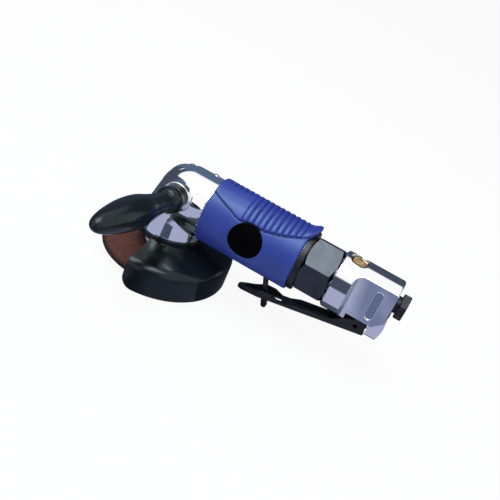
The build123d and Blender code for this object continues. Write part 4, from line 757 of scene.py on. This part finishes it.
def guard_ears():
    """The clamp ears: a round-ended plate on each side of the collar's gap."""
    middle_z, half = (COLLAR_LOW_Z + COLLAR_TOP_Z) / 2, (COLLAR_TOP_Z - COLLAR_LOW_Z) / 2
    round_end = np.linspace(-math.pi / 2, math.pi / 2, 17)
    tip = stacked(EAR_REACH - half + half * np.cos(round_end), middle_z + half * np.sin(round_end))
    root = np.linspace((COLLAR_IN_R + 1, COLLAR_TOP_Z), (COLLAR_IN_R + 1, COLLAR_LOW_Z), 7)
    outline = np.concatenate([tip, root])
    cos, sin = math.cos(EAR_TURN), math.sin(EAR_TURN)

    def on_ear(u, v, offset):
        return stacked(u * cos - offset * sin, u * sin + offset * cos, v)

    return [slab(outline, low, low + EAR_TO - EAR_FROM, 0.5, on_ear) for low in (EAR_FROM, -EAR_TO)]


def guard():
    """A pressed half bowl on a split collar with two clamp ears."""
    make_piece("guard_pressing", "guard", "guard", guard_bowl() + [guard_collar()] + guard_ears(), sharp=45)


# Grip sleeve and badge

def pad_edge(x):
    """Half angle of the palm pad, in degrees from the top, at places along X."""
    places = [28.6, 35.2, 41.2, 46.9, 52.8, 57.0, 62.4, 67.3, 76.2, 86.0, 93.0, 101.0, 106.0, 109.1, 114.3]
    return np.interp(x, places, [31.2, 38.2, 43.6, 48.0, 53.1, 55.5, 52.9, 51.7, 52.2, 47.0, 41.9, 33.6, 27.0,
                                 20.9, 9.5])


def sleeve_relief(x, turn):
    """Rise of the sleeve over its plain cylinder, and how deep in a groove each place is, which sets the
    painted shade in the grooves. The pad is raised inside its edge line and parted from the rest by a groove.
    Across its rear part ribs are rounded like fingers, with short ribs on the far side of the plain thumb
    rest."""
    degrees = (np.degrees(turn) + 180) % 360 - 180
    past = (np.abs(degrees) - pad_edge(x)) * SLEEVE_R * math.pi / 180
    on_pad = step(0.5, -0.7, past)
    border = np.exp(-(past / PAD_GROOVE_WIDTH) ** 2)
    along = (x - RIB_FROM) / RIB_PITCH
    valley = np.abs(2 * (along - np.floor(along)) - 1)
    tips = np.clip((past + 3.0) / 2.6, 0, 1)
    fingers = np.clip(valley ** 3.2 + tips ** 3, 0, 1) * on_pad
    ribbed = step(-0.06, 0.06, along) * step(RIB_COUNT + 0.06, RIB_COUNT - 0.06, along)
    short = step(-5.06, -4.94, along) * step(0.06, -0.06, along) * step(-3.0, 5.0, degrees)
    sunk = fingers * np.maximum(ribbed, 0.8 * short)
    thumb = step(0.1, -0.1, along) * step(24.0, 6.0, np.abs(degrees + 16.0)) * step(30.0, 36.0, x)
    rise = PAD_RISE * on_pad - RIB_DEPTH * sunk - PAD_GROOVE * border - THUMB_DEPTH * on_pad * thumb
    # groove depth, which the rubber uses for painted shade in the grooves
    groove = np.clip(np.maximum(border, np.clip(1.6 * sunk - 0.6, 0, 1)), 0, 1)
    return rise, groove


def top_distance(turn):
    """Distance of a place on the sleeve from its top line, seen from above; the underside is far off."""
    return np.abs(SLEEVE_R * np.sin(turn)) + 99.0 * (np.cos(turn) < 0)


def beak_end(turn):
    """How far back the sleeve reaches round its rear end: plain, but drawn out to a blunt beak on top."""
    share = np.clip((10.2 - top_distance(turn)) / 8.2, 0, 1)
    return SLEEVE_END_X + (BEAK_TIP_X - SLEEVE_END_X) * share * (2 - share)


def sleeve_skin(x, turn):
    """Radius of the sleeve's outside: cylinder, relief, rounded rims, and the beak's upward curl with a
    dished top. Also how deep in a groove each place is, for the painted shade in the grooves."""
    rise, groove = sleeve_relief(x, turn)
    front = np.clip(1 - (x - SLEEVE_X) / 1.2, 0, 1)
    rear = np.clip(1 - (beak_end(turn) - x) / 1.6, 0, 1)
    off_top = top_distance(turn)
    along = np.clip((x - BEAK_ROOT_X) / (BEAK_TIP_X - BEAK_ROOT_X), 0, 1)
    dish = BEAK_DISH * along * np.exp(-(off_top / BEAK_DISH_WIDTH) ** 2)
    curl = BEAK_LIFT * along ** 1.35 * step(12.0, 6.0, off_top) - dish
    rims = 1 - np.sqrt(1 - front ** 2) + 1.1 * (1 - np.sqrt(1 - rear ** 2))
    return SLEEVE_R + rise + curl - rims, groove


def grip_sleeve():
    """A tube whose outside is a height over (place along, angle), closed round the beak's lip, its rear face,
    its bore and its front face."""
    top = np.radians(np.linspace(-63, 63, 200))
    under = np.radians(np.linspace(63, 297, 84)[1:-1])
    turn = np.concatenate([top, under])[None, :]
    end = beak_end(turn)
    outside_x = SLEEVE_X + np.linspace(0, 1, 270)[:, None] * (end - SLEEVE_X)
    outside_r, groove = sleeve_skin(outside_x, turn)
    lip_r = outside_r[-1] - LIP_THICK * np.linspace(0, 1, 6)[1:, None]
    lip_x = np.broadcast_to(end, lip_r.shape)
    back = np.linspace(0, 1, 9)[1:, None]
    back_x = end + back * (SLEEVE_END_X - end)
    back_r = sleeve_skin(back_x, turn)[0] - LIP_THICK - 0.8 * back
    bore_x = np.broadcast_to([[SLEEVE_END_X], [SLEEVE_X]], (2, turn.size))
    x = np.concatenate([outside_x, lip_x, back_x, bore_x])
    radius = np.concatenate([outside_r, lip_r, back_r, np.full(bore_x.shape, SLEEVE_BORE_R)])
    skin = Grid(stacked(x, radius * np.sin(turn), radius * np.cos(turn)), round_rows=True, round_columns=True)
    # painted shade: groove depth on the outside, none on the lip, rear face and bore
    dark = np.concatenate([groove, np.zeros((len(x) - len(groove), turn.size))])
    make_piece("sleeve_moulding", "grip_sleeve", "tool", [skin], sharp=50, marks={"groove": dark})


def badge():
    """A round plate bent to the sleeve: rings about its middle, laid on a cylinder, with a raised rim."""
    ring = np.array([0, 3, 6, 9, 11.5, 12.3, 12.6, 12.9, 13.5, 13.8, 13.95, BADGE_R, BADGE_R])[:, None]
    rise = np.array([0, 0, 0, 0, 0, 0, 0.05, 0.16, 0.16, 0.1, 0.0, -0.12, -0.7])[:, None]
    turn = round_turn(120)
    wide = ring * np.sin(turn)
    out = np.sqrt((rise + SLEEVE_R + BADGE_LIFT) ** 2 - wide ** 2)
    y = -out * math.cos(BADGE_TURN) - wide * math.sin(BADGE_TURN)
    z = out * math.sin(BADGE_TURN) - wide * math.cos(BADGE_TURN)
    face = stacked(BADGE_X + ring * np.cos(turn), y, z)
    back = np.broadcast_to(face[-1].mean(axis=0), (1,) + face.shape[1:])
    make_piece("badge_plate", "badge", "tool", [Grid(np.concatenate([face, back]), round_columns=True)])


# Ring, coupling nut, throttle housing and inlet bushing

def exhaust_ring():
    """A plain ring with rounded rims."""
    corners = [(RING_BORE_R, RING_X), (RING_R, RING_X), (RING_R, TUBE_END_X), (RING_BORE_R, TUBE_END_X)]
    ring = rounded(corners, 0.7)
    ring = np.concatenate([ring, ring[:1]])
    make_piece("exhaust_ring_band", "exhaust_ring", "tool", [turned(ring, "x", columns=160)])


def hexagon(turn):
    """Points round a hexagon with flats one unit from its middle, starting at a corner."""
    side = np.radians(90 + turn + 60 * np.arange(6))
    corners = 2 / math.sqrt(3) * stacked(np.cos(side), np.sin(side))
    return between(corners, np.roll(corners, -1, axis=0), 19)[:, :-1].reshape(-1, 2)


def hexagon_bar(flats, front, rear, chamfer, turn):
    """A hexagon bar whose corners are turned off at both ends: on each line along the bar the flat ends where
    the cone begins, so the rows bend into the arcs that such a nut shows."""
    outline = hexagon(turn) * flats / 2
    out = np.linalg.norm(outline, axis=1)
    corner = flats / math.sqrt(3)
    fall = 1 + math.tan(math.radians(30))
    inset = chamfer - (corner - out) / fall
    share = np.linspace(0, 1, 5)[:, None]
    shrink = 1 + share * ((corner - fall * chamfer) / out - 1)
    x = np.concatenate([front + inset * (1 - share[::-1]), rear - inset * (1 - share)])
    grow = np.concatenate([shrink[::-1], shrink])
    return stacked(x, grow * outline[:, 0], grow * outline[:, 1])


def circles(bar, rows):
    """Circles for rows of (place along X, radius), with their points in line with a hexagon bar's."""
    unit = units(bar[-1, :, 1:])
    x, radius = np.array(rows, float).T[..., None]
    return stacked(x, radius * unit[:, 0], radius * unit[:, 1])


def coupling_nut():
    """The hexagon coupling nut, with a plain spigot that goes into the motor tube."""
    bar = hexagon_bar(NUT_FLATS, TUBE_END_X, HOUSING_X, NUT_CHAMFER, NUT_TURN)
    spigot = circles(bar, [(NUT_SPIGOT_X, 0), (NUT_SPIGOT_X, NUT_SPIGOT_R), (TUBE_END_X, NUT_SPIGOT_R)])
    rear = circles(bar, [(HOUSING_X, NUT_BORE_R), (HOUSING_X, 0)])
    on_cone = np.concatenate([np.zeros(3), np.ones(4), np.zeros(2), np.ones(4), np.zeros(2)])
    make_piece("coupling_hexagon", "coupling_nut", "tool",
               [Grid(np.concatenate([spigot, bar, rear]), round_columns=True)], sharp=24,
               marks={"turned_off": np.repeat(on_cone, bar.shape[1])}, material=finish["nut_steel"])


def inlet_bushing():
    """A hexagon head on a round neck, with a threaded bore whose ridges are rings of alternating radius."""
    bar = hexagon_bar(INLET_FLATS, INLET_HEAD_X, INLET_END_X, INLET_CHAMFER, 0)
    front = HOUSING_END_X - INLET_SPIGOT
    neck = circles(bar, [(front, 0), (front, INLET_SPIGOT_R), (HOUSING_END_X, INLET_SPIGOT_R),
                         (HOUSING_END_X, INLET_NECK_R), (INLET_HEAD_X, INLET_NECK_R)])
    mouth = [(INLET_END_X, INLET_BORE_R + 1.0), (INLET_END_X - 1.0, INLET_BORE_R)]
    thread = [(INLET_END_X - (i + 2) * INLET_PITCH, INLET_BORE_R + INLET_RIDGE * (i % 2)) for i in range(18)]
    floor = [(INLET_END_X - INLET_BORE, INLET_BORE_R), (INLET_END_X - INLET_BORE, 0)]
    skin = np.concatenate([neck, bar, circles(bar, mouth + thread + floor)]) + (0, 0, INLET_Z)
    make_piece("inlet_hexagon", "inlet_bushing", "tool", [Grid(skin, round_columns=True)], sharp=24)


def housing_section(x, milled, undercut, block):
    """Right half of the housing's section at each place along it, from top to bottom as (across Y, up Z): an
    arc, a flat that is milled in along a round run-out, and below it the rest of the arc, or a ledge, or the
    rear block. In front of the milling the same points are pushed out on to the full circle."""
    radius = HOUSING_R - np.clip(HOUSING_X + HOUSING_CHAMFER - x, 0, HOUSING_CHAMFER) \
        - np.clip(x - HOUSING_END_X + HOUSING_CHAMFER, 0, HOUSING_CHAMFER)
    before = np.clip(FLAT_X - x, 0, RUNOUT_R)
    flat = FLAT_Y + RUNOUT_R - np.sqrt(RUNOUT_R ** 2 - before ** 2)
    flat = flat * np.minimum(radius / HOUSING_R + milled, 1)
    high = np.sqrt(radius ** 2 - flat ** 2)
    end_turn = np.arctan2(flat, high) - FLAT_EASE / radius

    def on_arc(first, last, count):
        turn = first + np.linspace(0, 1, count) * np.reshape(last - first, (-1, 1))
        return stacked(radius[:, None] * np.sin(turn), radius[:, None] * np.cos(turn))

    crown = on_arc(0, CROWN_TURN, CROWN_COLUMNS + 1)
    flank = on_arc(CROWN_TURN, end_turn, 15)[:, 1:]
    ledge_z = UNDERCUT_Z + np.where(block, np.maximum(x - CORNER_X, 0) * CORNER_SLOPE, 0)
    foot_z = np.where(undercut, ledge_z, -high)
    below_top = stacked(flat, high - FLAT_EASE)
    over_foot = stacked(flat, foot_z + FLAT_EASE)
    round_start = (math.pi - end_turn)[:, None]
    round_rest = on_arc(round_start, math.pi, FOOT_COLUMNS)
    low_z = np.where(block, BLOCK_Z, foot_z)
    lean = np.where(block, BLOCK_LEAN, 0)
    step_in = stacked(BLOCK_Y, foot_z)
    side_foot = stacked(BLOCK_Y - lean, low_z + lean)
    under_foot = stacked(BLOCK_Y - 3 * lean, low_z)
    square_rest = [between(stacked(flat - 0.15, foot_z), step_in, 3), between(step_in, side_foot, 9),
                   bent(side_foot, stacked(BLOCK_Y, low_z), under_foot, 3),
                   between(under_foot, stacked(0.0, low_z), 9)]
    rest = np.where(undercut[:, None, None], np.concatenate(square_rest, axis=1), round_rest)
    section = np.concatenate([crown, flank, bent(flank[:, -1], stacked(flat, high), below_top),
                              between(below_top, over_foot, 40),
                              bent(over_foot, stacked(flat, foot_z), rest[:, 0]), rest], axis=1)
    return np.where(milled[:, None, None], section, radius[:, None, None] * units(section))


def throttle_housing():
    """Half sections along X, mirrored. Windows are left open in the grid for the valve cap's hole and for the
    sunk oblong in each flat, and filled by rings of points that run from the window's border to the hole."""
    runout = FLAT_X - RUNOUT_R * np.cos(np.linspace(0, math.pi / 2, 22))
    front = [HOUSING_X, HOUSING_X, HOUSING_X + HOUSING_CHAMFER]
    rear = [181.8, PANEL_TO_X, 184.0, 185.5, HOUSING_END_X - HOUSING_CHAMFER, HOUSING_END_X, HOUSING_END_X]
    x = np.concatenate([front, np.linspace(VALVE_FROM_X, WALL_X, 26), runout[runout < UNDERCUT_X],
                        [UNDERCUT_X, UNDERCUT_X], runout[runout > UNDERCUT_X], np.linspace(161.5, 167.5, 6),
                        np.linspace(PANEL_FROM_X, BLOCK_X, 22), np.linspace(BLOCK_X, CORNER_X, 5), rear])

    def beyond(place):
        return np.arange(len(x)) > nearest(x, place)

    half = housing_section(x, beyond(WALL_X), beyond(UNDERCUT_X), beyond(BLOCK_X))
    half[[0, -1]] = 0.0
    section = np.concatenate([half[:, ::-1] * (-1, 1), half[:, 1:]], axis=1)
    rearward = np.clip((x - CORNER_X) / (HOUSING_END_X - CORNER_X), 0, 1)[:, None] ** 2
    low_share = np.clip((section[..., 1] - BLOCK_Z) / (-1.0 - BLOCK_Z), 0, 1)
    bulged = x[:, None] + BLOCK_BULGE * rearward * np.sin(math.pi * low_share)
    points = stacked(bulged, section[..., 0], section[..., 1])
    middle = half.shape[1] - 1
    keep = np.ones((len(x) - 1, points.shape[1] - 1), bool)
    crown = (middle - CROWN_COLUMNS, middle + CROWN_COLUMNS)
    sunk = [valve_seat(open_window(points, keep, (nearest(x, VALVE_FROM_X), nearest(x, UNDERCUT_X)), crown))]
    panel_rows = (nearest(x, PANEL_FROM_X), nearest(x, PANEL_TO_X))
    for side in (-1, 1):
        columns = sorted(middle + side * column for column in FLAT_COLUMNS)
        sunk.append(sunk_oblong(open_window(points, keep, panel_rows, columns)[:, [0, 2]], side))
    grids = [Grid(points, keep=keep)] + sunk + [pivot_lug()]
    satin = [np.zeros(grid.points.shape[:2]) for grid in grids]
    for panel in satin[2:4]:
        panel[:-6] = SATIN_MARK
        panel[-6:-3] = BEAD_MARK
        # the sunk floor, which the chrome finish paints in shade
        panel[-3:] = PANEL_MARK
    inside = np.linalg.norm(section, axis=2) < HOUSING_R - 0.1
    satin[0][beyond(WALL_X)[:, None] & inside] = SATIN_MARK
    satin[0][:, :FOOT_COLUMNS] = satin[0][:, -FOOT_COLUMNS:] = 0.0
    make_piece("throttle_body", "throttle_housing", "tool", grids, sharp=28,
               marks={"milled": np.concatenate([values.ravel() for values in satin])})


def pivot_lug():
    """The lug that the lever hangs on: a plate with a round lower end."""
    turn = np.linspace(math.pi, TAU, 25)
    round_end = stacked(PIVOT_X + LUG_R * np.cos(turn), PIVOT_Z + LUG_R * np.sin(turn))
    root = np.linspace((PIVOT_X + LUG_R, UNDERCUT_Z + 1), (PIVOT_X - LUG_R, UNDERCUT_Z + 1), 8)
    return slab(np.concatenate([round_end, root]), -LUG_HALF, LUG_HALF, 0.4, lambda u, v, h: stacked(u, h, v))


def valve_seat(border):
    """The round hole for the valve cap: rings that run over the housing's crown from a window's border to the
    hole's edge, then down its wall to the seat."""
    angle = np.arctan2(border[:, 1], border[:, 0] - VALVE_X)
    unit = stacked(np.cos(angle), np.sin(angle))
    place = rings_between(border[:, :2], (VALVE_X, 0) + unit * (CAP_R + 0.25), 12)
    height = np.sqrt(HOUSING_R ** 2 - place[..., 1] ** 2)
    rim = height[-1]
    hole = CAP_R + 0.04
    wall = [(CAP_R + 0.12, rim - 0.1), (hole, rim - 0.25), (hole, CAP_SEAT_Z), (0, CAP_SEAT_Z)]
    rings = [stacked(VALVE_X + unit[:, 0] * radius, unit[:, 1] * radius, z)[None] for radius, z in wall]
    return Grid(np.concatenate([stacked(place[..., 0], place[..., 1], height)] + rings), round_columns=True)


def sunk_oblong(border, side):
    """A shallow oblong with round ends in one flat: rings that run from a window's border to the oblong's
    edge, and down to its floor."""
    across, up = (border - (PANEL_X, PANEL_Z)).T
    angle = np.arctan2(up, across)
    cos, sin = np.cos(angle), np.sin(angle)

    def oblong(radius):
        out = oblong_reach(np.abs(cos), np.abs(sin), PANEL_HALF, radius)
        return stacked(PANEL_X + out * cos, PANEL_Z + out * sin)

    inward = [oblong(PANEL_R - inset)[None] for inset in (-0.3, 0.0, 0.35, 0.7, 1.0)]
    centre = np.broadcast_to((PANEL_X, PANEL_Z), (1,) + border.shape)
    place = np.concatenate([rings_between(border, oblong(PANEL_R + 0.6), 8)] + inward + [centre])
    depth = np.concatenate([np.zeros(8), np.array([-0.35, -0.3, 0.3, 0.9, 1.0, 0.6]) * PANEL_DEPTH])
    return Grid(stacked(place[..., 0], side * (FLAT_Y - depth[:, None]), place[..., 1]), round_columns=True)


def oblong_reach(cos, sin, half, radius):
    """How far an upright oblong, of that straight half length and end radius, reaches in a direction."""
    straight = radius / np.maximum(cos, 1e-6)
    curved = half * sin + np.sqrt(np.maximum(radius ** 2 - (half * cos) ** 2, 0))
    return np.where(radius * sin <= half * cos, straight, curved)


def valve_cap():
    """A round brass cap with a hexagon socket: circles up its outside and over its rim, then hexagons down to
    the socket's floor."""
    socket = hexagon(0)
    unit = units(socket)
    half = CAP_FLATS / 2
    rings = [(unit * 0, CAP_SEAT_Z), (unit * CAP_R, CAP_SEAT_Z), (unit * CAP_R, CAP_TOP_Z - 0.4),
             (unit * (CAP_R - 0.4), CAP_TOP_Z), (socket * (half + 0.3), CAP_TOP_Z),
             (socket * half, CAP_TOP_Z - 0.3), (socket * half, CAP_FLOOR_Z), (unit * 0, CAP_FLOOR_Z)]
    skin = np.stack([stacked(VALVE_X + ring[:, 0], ring[:, 1], z) for ring, z in rings])
    make_piece("valve_cap_plug", "valve_cap", "tool", [Grid(skin, round_columns=True)])


# Throttle lever and latch

def on_lever(forward, across, up):
    """Places on the lever, given forward of its pivot, across and square to its sole."""
    cos, sin = math.cos(LEVER_SLOPE), math.sin(LEVER_SLOPE)
    return stacked(PIVOT_X - forward * cos - up * sin, across, PIVOT_Z - forward * sin + up * cos)


def throttle_lever():
    """A channel section carried along the lever, one half and its mirror image. The height of its wall, its
    width and the slots in its web change along it; where there is no slot, the halves meet in the middle."""
    u = np.array([-7.6, -6.6, 0, 3.8, 3.8, 5.5, 9, 15, 21, 30, 40, 49.2, 53, 57.2, 62.7, 62.7, 64.2, 68, 71.2,
                  75, 78.2, 81.8, 81.8, 82.2, 85, 87.2, 87.2, 88.2, 91, 94.4, 94.4, 96, 98, 99.8, LEVER_TIP])
    top = np.interp(u, [-7.6, -6.6, 5.5, 21, 49.2, 57.2, 64.2, 71.2, 78.2, 88.2, LEVER_TIP],
                    [3.6, 4.6, 4.6, -1.6, -1.6, -3.6, -3.6, 0.2, 1.0, -1.6, -3.2])
    low = np.interp(u, [-7.6, -6.6, LEVER_TIP - 4, LEVER_TIP], [SOLE + 1, SOLE, SOLE, SOLE + 0.6])
    wide = np.interp(u, [82.2, LEVER_TIP - 3.5, LEVER_TIP - 1.4, LEVER_TIP], [LEVER_HALF, 3.5, 2.8, 1.75])
    row = np.arange(len(u))
    fork, slot_from, slot_to, narrow, solid = 4, 15, 21, 26, 30     # rows where the section changes
    inner = LEVER_HALF - LEVER_WALL
    slot = np.where(row < fork, inner, np.where((row >= slot_from) & (row <= slot_to), LATCH_SLOT, 0.0))
    wall = np.where(row < narrow, inner, np.where(row < solid, LATCH_SLOT, 0.0))
    wall = np.minimum(wall, wide - 0.5)
    web = np.where(row < solid, WEB_TOP, top)
    corners = [(slot, low), (wide, low), (wide, top), (wall, top), (wall, web), (np.minimum(slot, wall), web)]
    section = np.stack([stacked(*corner) for corner in corners], axis=1)
    keep = np.ones((len(u) - 1, len(corners)), bool)
    keep[:, -1] = (slot[:-1] != 0) | (slot[1:] != 0)
    grids = []
    for side in (1, -1):
        skin = on_lever(u[:, None], side * section[..., 0], section[..., 1])
        grids.append(Grid(skin, round_columns=True, keep=keep))
        grids += [Grid(np.stack([skin[end, :3], skin[end, :2:-1]])) for end in (0, -1)]
    make_piece("lever_channel", "throttle_lever", "lever", grids, sharp=35, bevel=0.35)


def safety_latch():
    """A two-armed latch: its outline is the farther of a hub circle and two round-ended arms in each
    direction, carried across its width."""
    turn = round_turn(180)
    cos, sin = np.cos(turn), np.sin(turn)

    def arm(reach, half):
        return oblong_reach(np.abs(cos), np.abs(sin), reach - half, half)

    out = np.where(sin > 0, arm(LATCH_ARM, LATCH_ARM_R), arm(LATCH_TAB, LATCH_TAB_R))
    out = np.maximum(LATCH_HUB_R, out)
    lean_cos, lean_sin = math.cos(LATCH_LEAN), math.sin(LATCH_LEAN)

    def on_latch(u, v, across):
        forward = LATCH_FROM - (u * lean_cos - v * lean_sin)
        return on_lever(forward, across, -LATCH_DROP + u * lean_sin + v * lean_cos)

    plate = slab(stacked(out * cos, out * sin), -LATCH_HALF, LATCH_HALF, 0.5, on_latch)
    make_piece("latch_plate", "safety_latch", "latch", [plate], sharp=50)


def pins():
    """Round pins with eased ends."""
    def pin(radius, x, z, columns):
        line = rounded([(0, -LEVER_HALF), (radius, -LEVER_HALF), (radius, LEVER_HALF), (0, LEVER_HALF)], 0.3)
        return [turned(line, "y", (x, z), columns)]

    make_piece("lever_pivot_pin", "lever_pin", "tool", pin(PIN_R, PIVOT_X, PIVOT_Z, 40))
    x, _, z = on_lever(LATCH_FROM, 0.0, -LATCH_DROP)
    make_piece("latch_pivot_pin", "latch_pin", "lever", pin(LATCH_PIN_R, x, z, 32))


# Stage

def set_camera():
    camera = bpy.data.objects.new("camera", bpy.data.cameras.new("camera"))
    scene.collection.objects.link(camera)
    camera.data.lens = 57.6
    camera.data.sensor_width = 36.0
    camera.data.clip_start = 0.01
    turn = Matrix(((0.8581715, -0.4877762, 0.1600500),
                   (0.3791225, 0.3919703, -0.8382275),
                   (0.3461326, 0.7800216, 0.5213047))).to_4x4()
    camera.matrix_world = Matrix.Translation((0.1711274, -0.5322162, 0.3796318)) @ turn
    scene.camera = camera


def background_share(tree):
    """1 for rays that should see the plain white background: to the camera, a mirror or through glass."""
    path = add_node(tree, "LightPath").outputs
    share = path["Is Camera Ray"]
    for ray in ("Is Glossy Ray", "Is Transmission Ray"):
        share = add_node(tree, "Math", {0: share, 1: path[ray]}, operation="MAXIMUM").outputs[0]
    return share


def white_room():
    """A white surround that lights softly and shows white."""
    scene.world = bpy.data.worlds.new("white room")
    scene.world.use_nodes = True
    tree = scene.world.node_tree
    shade = tree.nodes["Background"]
    shade.inputs["Color"].default_value = rgb(1, 1, 1)
    inputs = {"Value": background_share(tree), "To Min": ROOM_LIGHT, "To Max": 1.0}
    tree.links.new(add_node(tree, "MapRange", inputs).outputs["Result"], shade.inputs["Strength"])


def stage_piece(name, corners, faces, shaders):
    """A piece of the stage. From its node tree, shaders gives a share and the two shaders that it mixes."""
    material = bpy.data.materials.new(name)
    material.use_nodes = True
    tree = material.node_tree
    tree.nodes.clear()
    share, first, second = shaders(tree)
    mix = add_node(tree, "MixShader", {0: share, 1: first.outputs[0], 2: second.outputs[0]})
    add_node(tree, "OutputMaterial", {"Surface": mix.outputs[0]})
    mesh = bpy.data.meshes.new(name)
    mesh.from_pydata(corners, [], faces)
    mesh.materials.append(material)
    item = bpy.data.objects.new(name, mesh)
    scene.collection.objects.link(item)
    return item


def pale_floor(height):
    """A plain white floor that keeps a faint shadow of the tool."""
    def shaders(tree):
        matt = add_node(tree, "BsdfDiffuse", {"Color": rgb(0.9, 0.9, 0.9)})
        share = add_node(tree, "Math", {0: background_share(tree), 1: FLOOR_GLOW}, operation="MULTIPLY")
        return share.outputs[0], matt, add_node(tree, "Emission")

    corners = [(x, y, height) for x, y in ((-6, -6), (6, -6), (6, 6), (-6, 6))]
    stage_piece("floor", corners, [(0, 1, 2, 3)], shaders)


def card(name, colour, points, share):
    """A studio card that only mirrors see, to give bright metal its dark bands. It is a grid of points, and
    turns clear where the share of its colour falls to 0."""
    rows, columns = share.shape
    first = (np.arange(rows - 1)[:, None] * columns + np.arange(columns - 1)).ravel()
    faces = np.stack([first, first + 1, first + columns + 1, first + columns], axis=1)

    def shaders(tree):
        mark = add_node(tree, "Attribute", attribute_name="share").outputs["Fac"]
        return mark, add_node(tree, "BsdfTransparent"), add_node(tree, "Emission", {"Color": colour})

    item = stage_piece(name, points.reshape(-1, 3).tolist(), faces.tolist(), shaders)
    item.data.attributes.new("share", "FLOAT", "POINT").data.foreach_set("value", share.ravel())
    item.visible_camera = item.visible_diffuse = item.visible_shadow = item.visible_transmission = False


def soft_share(left, right, low, high):
    """Share of a card's colour on its grid: 1, but falling off over a share of its size at each border."""
    def falls(start, stop):
        return step(-1e-6, max(start, 1e-9), ON_CARD) * step(-1e-6, max(stop, 1e-9), 1 - ON_CARD)

    return falls(low, high)[:, None] * falls(left, right)


def four_sided(first, second, third, fourth):
    """A grid of places between four corners: first to second along a row, first to fourth from row to row."""
    u, v = ON_CARD[None, :, None], ON_CARD[:, None, None]
    a, b, c, d = (np.array(corner, float) for corner in (first, second, third, fourth))
    return (1 - v) * ((1 - u) * a + u * b) + v * ((1 - u) * d + u * c)


def curved_wall(directions, heights):
    """A grid of places on an upright wall round the tool, whose height runs between knots of direction."""
    degrees = np.linspace(directions[0], directions[-1], len(ON_CARD))
    turn = np.radians(degrees)
    z = ON_CARD[:, None] * np.interp(degrees, directions, heights) - 0.001
    return stacked(WALL_MIDDLE_X + WALL_ROUND * np.cos(turn), WALL_ROUND * np.sin(turn), z)


def lying(height, *plan):
    """A grid of places on a card on the floor from the four corners of its floor plan."""
    return four_sided(*[(x, y, height) for x, y in plan])


def lamp(name, place, aim, size, power, mirrored):
    """An area lamp turned to its aim; mirrors see it only where it is to give a sheen."""
    data = bpy.data.lights.new(name, "AREA")
    data.shape = "RECTANGLE"
    data.size, data.size_y = size
    data.energy = power
    data.color = (0.92, 0.97, 1.0)
    item = bpy.data.objects.new(name, data)
    scene.collection.objects.link(item)
    item.location = place
    item.rotation_euler = (Vector(aim) - Vector(place)).to_track_quat("-Z", "Y").to_euler()
    item.visible_glossy = mirrored


def studio():
    """White room, pale floor, a large soft lamp overhead and a small one from the front. Slate and lavender
    cards that only mirrors see stand round the tool, as in a photographer's tent."""
    white_room()
    pale_floor(cad_box[0][2] - FLOOR_GAP)
    slate = rgb(0.055, 0.07, 0.105)
    blue_slate = rgb(0.09, 0.14, 0.23)
    lavender = rgb(0.36, 0.39, 0.56)
    walls = (("slate far wall", slate, (40, 100), (1.75, 1.72), (0.15, 0, 0, 0.22)),
             ("blue far wall", blue_slate, (100, 112, 142), (2.1, 1.95, 1.6), (0, 0, 0, 0.2)),
             ("slate left wall", slate, (142, 162, 180, 198, 222), (1.6, 1.2, 0.75, 0.36, 0.26),
              (0, 0, 0, 0.25)),
             ("lavender front wall", lavender, (222, 345), (0.24, 0.24), (0, 0, 0, 0.25)))
    for name, colour, directions, heights, fade in walls:
        card(name, colour, curved_wall(directions, heights), soft_share(*fade))
    screen = four_sided((-0.02, -0.55, 0), (0.3, -0.55, 0), (0.3, -0.55, 0.56), (-0.02, -0.55, 0.56))
    card("slate screen", slate, screen, soft_share(0.12, 0, 0.04, 0.25))
    near = cad_box[0][2] - CARD_GAP
    strip = lying(near + 0.0001, (-0.02, -0.55), (0.16, -0.55), (0.016, -0.03), (-0.003, -0.03))
    card("slate strip", slate, strip, soft_share(0.12, 0.7, 0, 0))
    floors = (("slate left floor", slate, (-1.3, -1.2), (-1.3, 1.3), (0.0, 1.3)),
              ("slate right floor", slate, (0.0, 1.3), (1.3, 1.3), (1.3, -0.03)),
              ("lavender floor", lavender, (1.3, -0.03), (1.3, -1.2), (-1.3, -1.2)))
    for name, colour, *plan in floors:
        card(name, colour, lying(near, (-0.02, -0.03), *plan), soft_share(0, 0, 0, 0))
    lamp("overhead lamp", (-0.15, -0.25, 1.1), (0.07, 0, 0.05), (0.9, 0.7), 10.0, True)
    lamp("front lamp", (0.5, -1.0, 0.7), (0.08, 0, 0.05), (0.5, 0.5), 1.0, False)


set_camera()
studio()
angle_head()
handle_washer()
side_handle()
grinding_wheel()
guard()
grip_sleeve()
badge()
exhaust_ring()
coupling_nut()
throttle_housing()
valve_cap()
inlet_bushing()
throttle_lever()
safety_latch()
pins()
for name in ("grease_fitting", "neck_screw", "bearing_cap", "spindle_seal", "valve_bush"):
    machined(name, "tool")
for name in ("spindle", "inner_flange", "disc_nut"):
    machined(name, "spindle")
for name in ("guard_screw", "guard_nut"):
    machined(name, "guard")
machined("valve_stem", "valve")
spring = machined("valve_spring", "tool")
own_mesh(spring)
